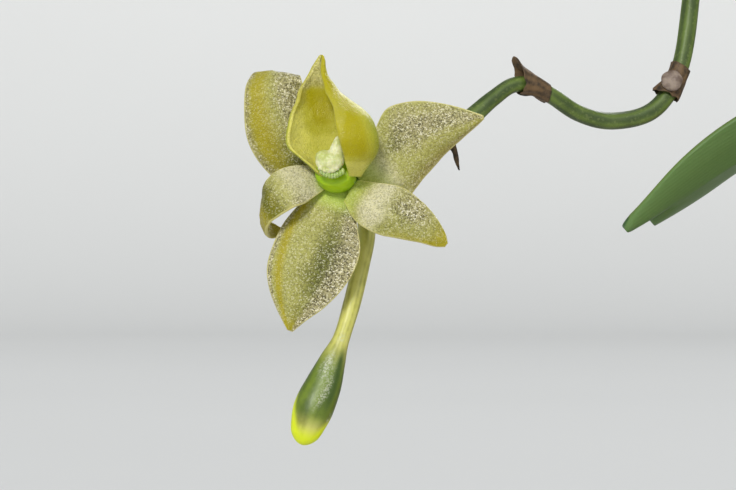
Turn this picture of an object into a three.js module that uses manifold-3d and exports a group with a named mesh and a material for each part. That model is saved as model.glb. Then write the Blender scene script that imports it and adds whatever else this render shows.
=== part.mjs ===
// A small epiphytic orchid, Angraecum ochraceum, in a plain clay pot of fir bark.
// It has a short stem of overlapping leaf sheaths, nine strap leaves in a flat fan, grey roots, and one
// thin arching flower spike that hangs at its end with a single yellow-green flower, lip uppermost.
// Millimetres, +Z up. The origin is the middle of the pot's foot, on the surface that it stands on.
import * as THREE from "three";
import { mergeVertices } from "three/addons/utils/BufferGeometryUtils.js";
import Module from "manifold-3d";

const wasm = await Module();
wasm.setup();

// Pot
const POT_HEIGHT = 58;
const POT_FOOT_RADIUS = 22;
const POT_RIM_RADIUS = 33;
const POT_RIM_HEIGHT = 14;
const POT_WALL = 4;
const POT_FLOOR = 5;
const POT_SIDES = 36;
const BAND_STEP = 2.2;
const DRAIN_RADIUS = 3.5;
const DRAIN_CIRCLE_RADIUS = 12;

// Bark
const BARK_TOP = 47;
const BARK_GAP = 0.4;
const CHIP_COUNT = 40;
const CHIP_SPREAD_RADIUS = 23;
const CHIP_LENGTH = 11;
const CHIP_WIDTH = 6.5;
const CHIP_DEPTH = 4;

// Stem and leaves
const STEM_BASE = [0, 0, 42];
const STEM_TIP = [1.5, 0.5, 86];
const STEM_RADIUS = 1.9;
const STEM_HOLE_RADIUS = 3.4;
const SHEATH_REACH = 3.4;
const SHEATH_RISE = 6;
const LEAF_WIDTH = 6.6;
const LEAF_THICKNESS = 0.9;
const ARTICULATION_GAP = 0.35;
const LEAF_FACES_ACROSS = 4;
const LEAF_FACES_ALONG = 12;

// Flower spike, with the flower's centre as it hangs beside the pot
const FLOWER_CENTRE = [-74, -30, 78];
const SPIKE_RADIUS = 0.5;

// Flower
const TEPAL_THICKNESS = 0.6;
const TEPAL_FACES_ACROSS = 6;
const TEPAL_FACES_ALONG = 12;
const SPUR_NECK_RADIUS = 0.43;

// Clearance between neighbouring pieces
const FINE_GAP = 0.15;
const WIDE_GAP = 0.3;

const UP = new THREE.Vector3(0, 0, 1);
const TO_VIEWER = new THREE.Vector3(0, -1, 0);
const point = (p) => new THREE.Vector3(...p);
const degrees = THREE.MathUtils.degToRad;
const outward = (heading) => new THREE.Vector3(Math.cos(degrees(heading)), Math.sin(degrees(heading)), 0);
const fromFlower = (p) => point(p).add(point(FLOWER_CENTRE));
const curveThrough = (points) => new THREE.CatmullRomCurve3(points, false, "centripetal");

// A repeatable draw from 0 to 1.
function drawsFrom(seed) {
  let state = seed;
  return () => {
    state = (Math.imul(state, 1664525) + 1013904223) >>> 0;
    return state / 4294967296;
  };
}

// A smooth value that passes through [place, value] pairs.
function through(pairs) {
  return (s) => {
    let i = 0;
    while (i < pairs.length - 2 && s > pairs[i + 1][0]) i++;
    const slope = (a, b) => (pairs[b][1] - pairs[a][1]) / (pairs[b][0] - pairs[a][0]);
    const tangent = (k) => {
      if (k === 0) return slope(0, 1);
      if (k === pairs.length - 1) return slope(k - 1, k);
      return slope(k - 1, k + 1);
    };
    const [start, low] = pairs[i];
    const [end, high] = pairs[i + 1];
    const span = end - start;
    const u = THREE.MathUtils.clamp((s - start) / span, 0, 1);
    const rise = (3 - 2 * u) * u * u;
    return (
      low + (high - low) * rise +
      span * tangent(i) * u * (1 - u) * (1 - u) -
      span * tangent(i + 1) * u * u * (1 - u)
    );
  };
}

// A closed geometry as a solid that can be joined and cut.
function solidOf(geometry) {
  const bare = geometry.clone();
  bare.deleteAttribute("normal");
  bare.deleteAttribute("uv");
  const merged = mergeVertices(bare, 1e-4);
  const triVerts = new Uint32Array(merged.index.array);
  const vertProperties = new Float32Array(merged.attributes.position.array);
  const make = () => new wasm.Manifold(new wasm.Mesh({ numProp: 3, vertProperties, triVerts }));
  const made = make();
  if (made.volume() > 0) return made;
  for (let i = 0; i < triVerts.length; i += 3) {
    [triVerts[i + 1], triVerts[i + 2]] = [triVerts[i + 2], triVerts[i + 1]];
  }
  return make();
}

// The largest single body of a solid. A scrap that a cut left loose is dropped.
function largestBody(solid) {
  return solid.decompose().reduce((a, b) => (b.volume() > a.volume() ? b : a));
}

function geometryOf(solid) {
  const mesh = solid.getMesh();
  const geometry = new THREE.BufferGeometry();
  geometry.setAttribute("position", new THREE.BufferAttribute(new Float32Array(mesh.vertProperties), 3));
  geometry.setIndex(new THREE.BufferAttribute(new Uint32Array(mesh.triVerts), 1));
  return geometry;
}

// A thin box bent onto a surface, which gives a point for s along it and t from -1 to 1 across it.
function bladeOn(surface, thickness, across, along) {
  const box = new THREE.BoxGeometry(2, 2, 1, across, 1, along);
  const places = box.attributes.position;
  const step = 0.01;
  const slope = (at, value, low) => {
    const from = Math.max(low, value - step);
    const to = Math.min(1, value + step);
    return at(to).sub(at(from)).divideScalar(to - from);
  };
  for (let i = 0; i < places.count; i++) {
    const t = places.getX(i);
    const side = places.getY(i);
    const s = places.getZ(i) + 0.5;
    const alongSlope = slope((v) => surface(v, t), s, 0);
    const acrossSlope = slope((v) => surface(s, v), t, -1);
    const normal = acrossSlope.cross(alongSlope).normalize();
    const place = surface(s, t).addScaledVector(normal, (side * thickness) / 2);
    places.setXYZ(i, place.x, place.y, place.z);
  }
  return solidOf(box);
}

// A round or oval rod along a curve, with its half thickness across and its half depth at each place.
function rodAlong(curve, across, depth, sides, steps, facing) {
  const rod = new THREE.CylinderGeometry(1, 1, 1, sides, steps);
  const places = rod.attributes.position;
  const frames = curve.computeFrenetFrames(steps, false);
  for (let i = 0; i < places.count; i++) {
    const s = places.getY(i) + 0.5;
    const k = Math.round(s * steps);
    const wide = frames.normals[k].clone();
    const deep = frames.binormals[k].clone();
    if (facing) {
      deep.copy(facing).addScaledVector(frames.tangents[k], -facing.dot(frames.tangents[k])).normalize();
      wide.crossVectors(deep, frames.tangents[k]).normalize();
    }
    const place = curve
      .getPointAt(s)
      .addScaledVector(wide, places.getX(i) * across(s))
      .addScaledVector(deep, places.getZ(i) * depth(s));
    places.setXYZ(i, place.x, place.y, place.z);
  }
  return solidOf(rod);
}

const parts = new THREE.Group();

function addPart(name, solid, material) {
  const geometry = geometryOf(largestBody(solid)).toNonIndexed();
  geometry.computeVertexNormals();
  const mesh = new THREE.Mesh(geometry, material);
  mesh.name = name;
  parts.add(mesh);
}

const plant = (color, roughness = 0.5) => new THREE.MeshStandardMaterial({ color, roughness, metalness: 0 });
const clay = plant(0xb5663f, 0.9);
const bark = plant(0x6b4228, 0.95);
const sheath = plant(0x7c9a4a);
const leafGreen = plant(0x3f6b2b, 0.4);
const rootGrey = plant(0xa9b09a, 0.8);
const spikeGreen = plant(0x5d7f2c);
const sepalYellow = plant(0xb5b25f, 0.35);
const lipYellow = plant(0xc0b41c, 0.35);
const columnGreen = plant(0x93b50a, 0.3);
const antherWhite = plant(0xe9e9d2, 0.3);

// The pot is turned about its axis, and its floor has three drain holes.
function clayPot() {
  const bandFoot = POT_HEIGHT - POT_RIM_HEIGHT;
  const top = POT_RIM_RADIUS - BAND_STEP;
  const neckRadius = THREE.MathUtils.mapLinear(bandFoot, 0, POT_HEIGHT, POT_FOOT_RADIUS, top);
  const profile = [
    [0, 0],
    [POT_FOOT_RADIUS - 1, 0],
    [POT_FOOT_RADIUS, 1],
    [neckRadius, bandFoot],
    [POT_RIM_RADIUS - 1.6, bandFoot + 0.8],
    [POT_RIM_RADIUS - 0.9, bandFoot + 2],
    [POT_RIM_RADIUS, POT_HEIGHT - 1.6],
    [POT_RIM_RADIUS - 0.5, POT_HEIGHT - 0.4],
    [POT_RIM_RADIUS - 1.6, POT_HEIGHT],
    [POT_RIM_RADIUS - POT_WALL + 1, POT_HEIGHT],
    [POT_RIM_RADIUS - POT_WALL, POT_HEIGHT - 1],
    [innerRadius(bandFoot), bandFoot],
    [innerRadius(POT_FLOOR), POT_FLOOR],
    [0, POT_FLOOR],
  ];
  const turned = new THREE.LatheGeometry(profile.map((p) => new THREE.Vector2(...p)), POT_SIDES);
  let pot = solidOf(turned.rotateX(Math.PI / 2));
  for (const turn of [90, 210, 330]) {
    const drain = new THREE.CylinderGeometry(DRAIN_RADIUS, DRAIN_RADIUS, POT_FLOOR * 3, 14);
    const away = outward(turn).multiplyScalar(DRAIN_CIRCLE_RADIUS);
    pot = pot.subtract(solidOf(drain.rotateX(Math.PI / 2).translate(away.x, away.y, 0)));
  }
  return pot;
}

function innerRadius(z) {
  const lowest = POT_FOOT_RADIUS - 2.6;
  return THREE.MathUtils.mapLinear(z, POT_FLOOR, POT_HEIGHT, lowest, POT_RIM_RADIUS - POT_WALL);
}

// The bark fills the pot, and its loose top layer of chips lies in a golden-angle spiral. No chip reaches
// into the pot's wall.
function barkFill() {
  const chips = wasm.Manifold.union(chipPlaces().map(barkChip));
  return insideOfPot(BARK_TOP).add(chips.intersect(insideOfPot(POT_HEIGHT)));
}

function insideOfPot(top) {
  const bottom = POT_FLOOR + BARK_GAP;
  const low = innerRadius(bottom) - BARK_GAP;
  const high = innerRadius(top) - BARK_GAP;
  const profile = [[0, bottom], [low, bottom], [high, top], [0, top]];
  const turned = new THREE.LatheGeometry(profile.map((p) => new THREE.Vector2(...p)), POT_SIDES);
  return solidOf(turned.rotateX(Math.PI / 2));
}

function chipPlaces() {
  const draw = drawsFrom(7);
  const between = (low, high) => low + (high - low) * draw();
  const goldenAngle = 137.508;
  return Array.from({ length: CHIP_COUNT }, (_, i) => {
    const angle = i * goldenAngle;
    const centre = outward(angle).multiplyScalar(CHIP_SPREAD_RADIUS * Math.sqrt((i + 0.5) / CHIP_COUNT));
    return {
      centre: centre.setZ(BARK_TOP + between(0.6, 2.4)),
      size: [CHIP_LENGTH * between(0.7, 1.1), CHIP_WIDTH * between(0.7, 1.1), CHIP_DEPTH * between(0.8, 1.2)],
      turn: [between(-0.25, 0.25), between(-0.25, 0.25), degrees(angle + 90) + between(-0.4, 0.4)],
      corners: Array.from({ length: 8 }, () => between(0.72, 1)),
    };
  });
}

// One chip is a box whose eight corners are each drawn in by a different share.
function barkChip({ centre, size, turn, corners }) {
  const box = new THREE.BoxGeometry(...size);
  const places = box.attributes.position;
  for (let i = 0; i < places.count; i++) {
    const corner = (places.getX(i) > 0 ? 1 : 0) + (places.getY(i) > 0 ? 2 : 0) + (places.getZ(i) > 0 ? 4 : 0);
    const share = corners[corner];
    places.setXYZ(i, places.getX(i) * share, places.getY(i) * share, places.getZ(i));
  }
  const placed = new THREE.Matrix4().makeRotationFromEuler(new THREE.Euler(...turn, "ZYX"));
  return solidOf(box.applyMatrix4(placed.setPosition(centre)));
}

// Each leaf: height of its node on the stem, heading round the stem, pitch at its base, droop to its tip,
// length, swing of its heading, and twist of its blade, in millimetres and degrees.
const LEAVES = [
  { node: 50, heading: 8, pitch: 24, droop: 62, length: 56, swing: 14, twist: 10 },
  { node: 53, heading: 176, pitch: 22, droop: 60, length: 54, swing: -18, twist: -14 },
  { node: 57, heading: -12, pitch: 34, droop: 74, length: 70, swing: -10, twist: -12 },
  { node: 60, heading: 172, pitch: 50, droop: 92, length: 62, swing: 3, twist: 30 },
  { node: 64, heading: 6, pitch: 50, droop: 86, length: 80, swing: 10, twist: 16 },
  { node: 67, heading: 168, pitch: 62, droop: 58, length: 70, swing: -26, twist: -20 },
  { node: 71, heading: -6, pitch: 64, droop: 70, length: 78, swing: -18, twist: -18 },
  { node: 75, heading: 186, pitch: 74, droop: 40, length: 62, swing: -30, twist: 20 },
  { node: 79, heading: 10, pitch: 79, droop: 34, length: 50, swing: 20, twist: 14 },
];

const stemAt = (z) => {
  const share = (z - STEM_BASE[2]) / (STEM_TIP[2] - STEM_BASE[2]);
  return point(STEM_BASE).lerp(point(STEM_TIP), share);
};

// Where a leaf's blade joins its sheath.
function articulation({ node, heading }) {
  return stemAt(node).addScaledVector(outward(heading), SHEATH_REACH).addScaledVector(UP, SHEATH_RISE);
}

function leafDirection({ heading, pitch, droop, swing }, s) {
  const up = degrees(pitch - droop * s ** 1.35);
  const flat = outward(heading + swing * s);
  return flat.multiplyScalar(Math.cos(up)).addScaledVector(UP, Math.sin(up));
}

function leafSpine(leaf, grow) {
  const steps = 48;
  const place = articulation(leaf).addScaledVector(leafDirection(leaf, 0), ARTICULATION_GAP - 2 * grow);
  const points = [place.clone()];
  for (let k = 0; k < steps; k++) {
    place.addScaledVector(leafDirection(leaf, (k + 0.5) / steps), leaf.length / steps);
    if (k % 6 === 5) points.push(place.clone());
  }
  return curveThrough(points);
}

// Half of the width as a share of the greatest width, and the fold of each half above flat, in degrees.
const leafHalf = through([
  [0, 0.36], [0.08, 0.39], [0.25, 0.47], [0.5, 0.5], [0.8, 0.46], [0.93, 0.37], [1, 0.2],
]);
const leafFold = through([[0, 58], [0.12, 44], [0.35, 24], [0.7, 16], [1, 8]]);
const LONG_LOBE = 1.6;
const SHORT_LOBE = 0.2;
const NOTCH = 0.9;

// A strap folded along its midrib, with one lobe of its tip longer than the other.
function leafSurface(leaf, grow) {
  const spine = leafSpine(leaf, grow);
  return (s, t) => {
    const centre = spine.getPointAt(s);
    const along = leafDirection(leaf, s);
    const flat = outward(leaf.heading + leaf.swing * s);
    const wide = new THREE.Vector3(-flat.y, flat.x, 0).applyAxisAngle(along, degrees(leaf.twist * s));
    const up = new THREE.Vector3().crossVectors(along, wide);
    const half = leafHalf(s) * LEAF_WIDTH + grow;
    const fold = degrees(leafFold(s));
    const lobe = THREE.MathUtils.lerp(-NOTCH, t > 0 ? LONG_LOBE : SHORT_LOBE, Math.abs(t));
    return centre
      .addScaledVector(wide, half * t * Math.cos(fold))
      .addScaledVector(up, half * Math.abs(t) * Math.sin(fold))
      .addScaledVector(along, lobe * THREE.MathUtils.smoothstep(s, 0.8, 1));
  };
}

function leafBlade(leaf, grow = 0) {
  return bladeOn(leafSurface(leaf, grow), LEAF_THICKNESS + 2 * grow, LEAF_FACES_ACROSS, LEAF_FACES_ALONG);
}

// The stem is wrapped by a flattened sheath for each leaf, alternately to one side and the other.
function leafSheaths() {
  const coreSize = through([[0, STEM_RADIUS], [0.8, STEM_RADIUS], [1, STEM_RADIUS * 0.5]]);
  const coreCurve = curveThrough([point(STEM_BASE), stemAt(60), stemAt(78), point(STEM_TIP)]);
  const core = rodAlong(coreCurve, coreSize, coreSize, 10, 3);
  return core.add(wasm.Manifold.union(LEAVES.map(leafSheath)));
}

function leafSheath(leaf) {
  const out = outward(leaf.heading);
  const joint = articulation(leaf);
  const direction = leafDirection(leaf, 0);
  const curve = curveThrough([
    stemAt(leaf.node - 6),
    stemAt(leaf.node).addScaledVector(out, SHEATH_REACH * 0.35),
    joint.clone().addScaledVector(direction, -2.2),
    joint,
  ]);
  const across = through([[0, 2], [0.4, 2.5], [0.8, 2.4], [1, 2.1]]);
  const depth = through([[0, 1.9], [0.4, 1.9], [0.8, 1.4], [1, 0.95]]);
  const facing = out.cross(UP).cross(direction);
  return rodAlong(curve, across, depth, 8, 4, facing);
}

// Roots leave the stem's foot. Most dive into the bark, one crosses the rim, and one young tip lifts off
// the bark.
const ROOTS = [
  {
    radius: 1,
    points: [
      [1.5, -1.2, 52.5], [6, -6, 54.8], [13, -13, 57], [20, -19.5, 60.2], [23.6, -23, 60.7],
      [25.9, -25.2, 57.5], [25.3, -24.8, 50], [23.6, -22.8, 40], [22.4, -20.6, 30],
    ],
  },
  {
    radius: 0.95,
    points: [
      [-1.2, 1.4, 52], [-5, 6, 54.6], [-10, 12, 54.8], [-14.4, 17.2, 53], [-15.2, 18, 49], [-15, 17.8, 43],
    ],
  },
  {
    radius: 1.05,
    points: [[-1.5, -1.2, 50.5], [-6, -5, 53.6], [-12, -9, 53.4], [-16, -11.5, 50], [-17, -12, 43]],
  },
  {
    radius: 0.9,
    points: [[1.4, 1.2, 51], [6, 4.5, 54], [12, 7.5, 54], [17, 9, 50.5], [18, 9.5, 44]],
  },
  {
    radius: 1,
    points: [[0.3, -1.6, 50.5], [1, -7, 53.8], [3, -13, 53], [4, -16.5, 48.5], [4.2, -17, 42]],
  },
  {
    radius: 0.85,
    points: [[0.6, 1.6, 57], [1.2, 7, 58], [2.4, 13, 57.4], [5, 17.5, 58], [8.6, 20.6, 60.4]],
  },
];
const rootTaper = through([[0, 0.9], [0.1, 1], [0.9, 0.95], [1, 0.55]]);

function root({ radius, points }, grow = 0) {
  const size = (s) => radius * rootTaper(s) + grow;
  return rodAlong(curveThrough(points.map(point)), size, size, 7, 3 * points.length);
}

// The spike: from its axil over an arch, down into the hanging zigzag that ends at the flower's own stalk.
// The points of the hanging part are offsets from the flower's centre.
const SPIKE_ARCH = [
  [-2.2, -1.8, 57],
  [-4.2, -5.4, 61.5],
  [-9, -8.6, 69],
  [-19, -12, 84],
  [-31, -14.6, 96],
  [-43, -17, 101.6],
  [-52, -19, 99.4],
];
const SPIKE_HANGING = [
  [17.9, 10.4, 15.6],
  [17.7, 10, 9.6],
  [16.9, 9, 5.6],
  [15.6, 8.5, 3.9],
  [13.5, 8, 3.35],
  [11.8, 7.4, 3.75],
  [10.4, 6.7, 4.6],
  [9.3, 6.3, 5.15],
  [8.4, 5.9, 5.1],
  [7.4, 5.5, 4.4],
  [6.1, 5, 3.3],
  [4.6, 4.3, 2.5],
];
// Sheathing bracts: the place along the spike, the sheath's length, and the reach of its free tip.
const BRACTS = [
  { at: 0.13, sheath: 3.4, tip: [-0.8, -0.6, 1.4] },
  { at: 0.36, sheath: 3.2, tip: [-1.2, -0.5, 1.2] },
  { at: 0.6, sheath: 3, tip: [-1.6, -0.5, 0] },
  { at: 0.863, sheath: 2.2, tip: [-0.9, -0.3, -0.5] },
  { at: 0.946, sheath: 1.9, tip: [-0.85, -0.25, 1.1] },
];
const WITHERED_BRACT = [[5, 4.5, 2.9], [5.4, 4.8, 1.9], [5.7, 4.8, 0.8]];

const spikeCurve = curveThrough([...SPIKE_ARCH.map(point), ...SPIKE_HANGING.map(fromFlower)]);
const spikeSize = through([[0, 1.15], [0.5, 1], [0.8, 0.9], [0.92, 0.85], [0.96, 0.78], [1, 1.12]]);

function flowerSpike(grow = 0) {
  const size = (s) => SPIKE_RADIUS * spikeSize(s) + grow;
  const axis = rodAlong(spikeCurve, size, size, 7, 48);
  const bracts = BRACTS.map((bract) => bractSolid(bract, grow));
  const thin = (s) => 0.24 - 0.14 * s + grow;
  const withered = rodAlong(curveThrough(WITHERED_BRACT.map(fromFlower)), thin, thin, 5, 3);
  return axis.add(wasm.Manifold.union([...bracts, withered, fallenFlowerScar(grow)]));
}

// A short sheath round the spike that leans off into a pointed tip.
function bractSolid({ at, sheath, tip }, grow) {
  const centre = spikeCurve.getPointAt(at);
  const along = spikeCurve.getTangentAt(at);
  const foot = centre.clone().addScaledVector(along, -0.6 * sheath);
  const mouth = centre.clone().addScaledVector(along, 0.15 * sheath);
  const end = centre.clone().add(point(tip));
  const size = through([[0, 0.56], [0.35, 0.74], [0.65, 0.6], [1, 0.16]]);
  const grown = (s) => size(s) + grow;
  return rodAlong(curveThrough([foot, centre, mouth, end]), grown, grown, 7, 5);
}

// The round scar of a flower that has dropped, turned to the viewer.
function fallenFlowerScar(grow) {
  const foot = fromFlower([16.7, 9, 5.3]);
  const face = foot.clone().add(new THREE.Vector3(-0.15, -1.15, 0.15));
  const size = through([[0, 0.4], [0.6, 0.56], [1, 0.5]]);
  const grown = (s) => size(s) + grow;
  return rodAlong(curveThrough([foot, face]), grown, grown, 7, 2);
}

// The flower's pieces. All points are offsets from its centre: x to the viewer's right, y away, z up.
// A sepal or petal has its spine, the way its face looks along it, and its half widths to the right and
// to the left of the spine, as seen from its base towards its tip.
function tepalSurface({ spine, facing, right, left, cross }, grow) {
  const curve = curveThrough(spine.map(fromFlower));
  const faces = curveThrough(facing.map(point));
  const rightHalf = through(right);
  const leftHalf = through(left);
  return (s, t) => {
    const along = curve.getTangentAt(s);
    const face = faces.getPoint(s).normalize();
    face.addScaledVector(along, -face.dot(along)).normalize();
    const wide = new THREE.Vector3().crossVectors(face, along);
    const half = (t < 0 ? rightHalf(s) : leftHalf(s)) + grow;
    return curve.getPointAt(s).addScaledVector(wide, half * t).addScaledVector(face, cross(s, t));
  };
}

function tepal(form, grow = 0) {
  return bladeOn(tepalSurface(form, grow), TEPAL_THICKNESS + 2 * grow, TEPAL_FACES_ACROSS, TEPAL_FACES_ALONG);
}

const DORSAL_SEPAL = {
  spine: [[-0.3, 0.75, 0], [-0.8, 0.35, -1.5], [-1.45, 0.05, -3.4], [-2.1, 0, -5.4], [-2.7, 0.15, -7.15]],
  facing: [[0, -1, 0.2], [0, -1, 0], [0, -1, 0]],
  right: [[0, 0.8], [0.2, 1.3], [0.36, 1.85], [0.52, 2.1], [0.66, 2.05], [0.79, 1.6], [0.9, 0.92], [1, 0.14]],
  left: [[0, 0.85], [0.2, 1.4], [0.36, 2], [0.5, 2.06], [0.65, 1.75], [0.79, 1.2], [0.9, 0.6], [1, 0.14]],
  cross: (s, t) => (0.32 * t * t - (t < -0.5 ? 1.2 * (t + 0.5) ** 2 : 0)) * Math.sin(Math.PI * s),
};

const LOWER_PETAL = {
  spine: [
    [0.3, 0.2, -0.3], [1.3, -0.45, -0.85], [2.65, -0.85, -1.4], [3.9, -0.8, -2.1], [4.95, -0.45, -2.95],
  ],
  facing: [[0.1, -1, 0.1], [0, -1, 0.2], [0.1, -1, 0.1]],
  right: [[0, 0.65], [0.2, 1.2], [0.42, 1.3], [0.62, 1.05], [0.8, 0.72], [0.93, 0.45], [1, 0.2]],
  left: [[0, 0.65], [0.2, 1.1], [0.42, 1.3], [0.62, 1.1], [0.8, 0.75], [0.93, 0.45], [1, 0.2]],
  cross: (s, t) => -0.3 * t * t * Math.sin(Math.PI * s),
};

const RIGHT_SEPAL = {
  spine: [
    [0.7, 1, 0.25], [1.86, 0.95, 1.1], [2.94, 0.9, 1.8], [4.16, 0.8, 2.5], [5.5, 0.7, 3], [6.8, 0.6, 3.33],
  ],
  facing: [[0, -1, 0], [0, -1, 0], [0.1, -1, 0]],
  right: [
    [0, 0.6], [0.12, 1.3], [0.24, 2.02], [0.3, 1.95], [0.4, 1.71], [0.55, 1.4], [0.75, 0.86], [0.9, 0.4],
    [1, 0.1],
  ],
  left: [[0, 0.5], [0.18, 0.95], [0.3, 1.6], [0.42, 2.06], [0.55, 1.84], [0.75, 1.12], [0.9, 0.52], [1, 0.1]],
  cross: (s, t) => -0.35 * t * t * Math.sin(Math.PI * s) - (t < -0.5 ? 0.8 * (t + 0.5) ** 2 : 0),
};

const LEFT_SEPAL = {
  spine: [
    [-0.5, 1.2, 0.3], [-1.8, 1.3, 1.6], [-2.75, 1.3, 2.9], [-3.25, 1.35, 4.1], [-3.4, 1.6, 5.03],
    [-3.2, 2.1, 5.45], [-2.92, 2.9, 5.2],
  ],
  facing: [[0, -1, 0], [0, -1, 0], [0, -1, 0.1], [0, -0.7, 0.8], [0, 0.2, 1]],
  right: [[0, 0.35], [0.26, 0.85], [0.48, 1.2], [0.68, 1.3], [0.84, 1.25], [1, 0.35]],
  left: [[0, 0.7], [0.13, 1.7], [0.26, 2.1], [0.48, 2.17], [0.67, 1.72], [0.8, 1.45], [0.88, 1.32], [1, 0.5]],
  cross: (s, t) => -0.4 * t * t * Math.sin(Math.PI * Math.min(1, s * 1.1)),
};

const UPPER_PETAL = {
  spine: [
    [-1.2, 0.25, 0.3], [-2.2, -0.35, 0.15], [-3.1, -0.8, -0.2], [-3.8, -0.55, -0.95], [-4.02, 0.25, -1.75],
    [-3.75, 1.2, -2.15], [-3.2, 1.85, -2.1],
  ],
  facing: [[0, -1, 0.2], [-0.1, -1, 0.3], [-0.7, -1, 0.2], [-1, -0.2, 0], [-0.8, 0.3, -0.9], [0, -0.1, -1]],
  right: [[0, 0.6], [0.2, 0.95], [0.4, 1], [0.6, 0.82], [0.8, 0.55], [1, 0.2]],
  left: [[0, 0.6], [0.12, 0.95], [0.25, 1.18], [0.4, 1.14], [0.6, 0.86], [0.8, 0.6], [1, 0.24]],
  cross: (s, t) => -0.15 * t * t * Math.sin(Math.PI * s),
};

// The lip is a pointed hood, open to the viewer's left, whose right side wraps forward over the column.
// Its half width and half depth are those of its outer face. Its edges are turns round it, in degrees
// from the viewer's right by way of the back.
const LIP = {
  middle: through([
    [0, -0.2], [0.15, -0.35], [0.3, -0.62], [0.45, -0.68], [0.62, -0.76], [0.8, -1.06], [1, -1.22],
  ]),
  depth: through([
    [0, -0.3], [0.15, -0.8], [0.3, -1.25], [0.45, -1.4], [0.62, -1.3], [0.8, -0.95], [1, -0.6],
  ]),
  height: through([[0, 0.4], [0.15, 0.95], [0.3, 1.75], [0.45, 2.4], [0.62, 3.2], [0.8, 4.1], [1, 5]]),
  halfWidth: through([[0, 1], [0.15, 1.55], [0.3, 2.22], [0.45, 2.3], [0.62, 2.1], [0.8, 1.4], [1, 0.8]]),
  halfDepth: through([
    [0, 1.05], [0.15, 1.5], [0.3, 1.65], [0.45, 1.62], [0.62, 1.45], [0.8, 1.08], [1, 0.62],
  ]),
  rightEdge: through([[0, -50], [0.15, -70], [0.3, -75], [0.45, -78], [0.62, -77], [0.8, -64], [1, -36]]),
  leftEdge: through([[0, 200], [0.15, 182], [0.3, 170], [0.62, 165], [1, 166]]),
};
const LIP_BEAK = [[-1.2, -0.55, 4.55], [-1.24, -0.5, 5], [-1.3, -0.45, 5.65], [-1.2, -0.4, 6.35]];
const beakSize = through([[0, 0.55], [0.25, 0.76], [0.5, 0.5], [0.75, 0.3], [1, 0.13]]);

function lipSurface(s, t) {
  const turn = degrees(THREE.MathUtils.mapLinear(t, -1, 1, LIP.leftEdge(s), LIP.rightEdge(s)));
  return fromFlower([
    LIP.middle(s) + (LIP.halfWidth(s) - TEPAL_THICKNESS / 2) * Math.cos(turn),
    LIP.depth(s) + (LIP.halfDepth(s) - TEPAL_THICKNESS / 2) * Math.sin(turn),
    LIP.height(s),
  ]);
}

// The spur leaves the back of the lip, passes behind the ovary and hangs, ending in a club.
const SPUR = [
  [-0.55, 0.35, 1.75],
  [-0.4, 1.9, 2.05],
  [0.1, 3.3, 1.3],
  [0.85, 3.6, -0.6],
  [1.05, 2.9, -2.35],
  [0.78, 2.2, -3.9],
  [0.38, 1.6, -5.63],
  [-0.12, 1.1, -7.34],
  [-0.59, 0.85, -8.56],
  [-1.05, 0.65, -9.78],
  [-1.52, 0.4, -11],
  [-2.03, 0.2, -12.72],
];
const SPUR_CLUB_START = 0.72;
const CLUB_FLATNESS = 0.82;
const spurSize = through([
  [0, 1.3], [0.3, 1.05], [0.6, 1], [0.7, 0.98], [0.76, 1.5], [0.83, 2.08], [0.9, 2.36], [0.95, 1.95],
  [0.985, 1], [1, 0.5],
]);

function lipAndSpur(grow = 0) {
  const hood = bladeOn(lipSurface, TEPAL_THICKNESS + 2 * grow, 12, 10);
  const beakWide = (s) => beakSize(s) + grow;
  const beakDeep = (s) => beakSize(s) * 0.8 + grow;
  const beak = rodAlong(curveThrough(LIP_BEAK.map(fromFlower)), beakWide, beakDeep, 8, 6, TO_VIEWER);
  const across = (s) => SPUR_NECK_RADIUS * spurSize(s) + grow;
  const depth = (s) => across(s) * (s > SPUR_CLUB_START ? CLUB_FLATNESS : 1);
  const spur = rodAlong(curveThrough(SPUR.map(fromFlower)), across, depth, 8, 24, TO_VIEWER);
  return hood.add(spur).add(beak);
}

const COLUMN_AXIS = [[-0.36, 0.75, 0.3], [-0.44, 0.1, 0.4], [-0.6, -0.72, 0.66]];
const columnSize = through([[0, 0.95], [0.35, 1.06], [0.75, 0.98], [1, 0.84]]);

function column(grow = 0) {
  const across = (s) => columnSize(s) + grow;
  const depth = (s) => columnSize(s) * 0.78 + grow;
  return rodAlong(curveThrough(COLUMN_AXIS.map(fromFlower)), across, depth, 12, 4, UP);
}

// The white anther cap, with its rounded shoulder and its one pointed horn.
const HORN = [[-0.55, -1.4, 1.5], [-0.45, -1.45, 2], [-0.37, -1.4, 2.42]];
const hornSize = through([[0, 0.38], [0.5, 0.26], [1, 0.1]]);

function antherCap(grow = 0) {
  const ball = (radius, at, scale) =>
    solidOf(new THREE.SphereGeometry(radius + grow, 12, 8).scale(...scale).translate(...fromFlower(at)));
  const grown = (s) => hornSize(s) + grow;
  const horn = rodAlong(curveThrough(HORN.map(fromFlower)), grown, grown, 7, 4);
  const body = ball(0.72, [-0.75, -1.35, 1.15], [1, 0.75, 1.05]);
  const shoulder = ball(0.42, [-1.15, -1.35, 1.45], [1, 1, 0.9]);
  return body.add(shoulder).add(horn);
}

// The stalk and ovary widen to the receptacle behind the flower.
const OVARY = [[4.25, 4, 2.35], [3.2, 3.3, 2.15], [1.9, 2.6, 1.75], [0.75, 2.15, 1], [0.1, 1.75, 0.45]];
const ovarySize = through([[0, 0.5], [0.3, 0.56], [0.75, 0.72], [1, 0.8]]);

function stalkAndOvary(grow = 0) {
  const grown = (s) => ovarySize(s) + grow;
  return rodAlong(curveThrough(OVARY.map(fromFlower)), grown, grown, 10, 9);
}

// A solid without the grown copies of its neighbours, which leaves the gap between them.
function clearOf(solid, others) {
  return others.reduce((rest, other) => rest.subtract(other), solid);
}

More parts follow.
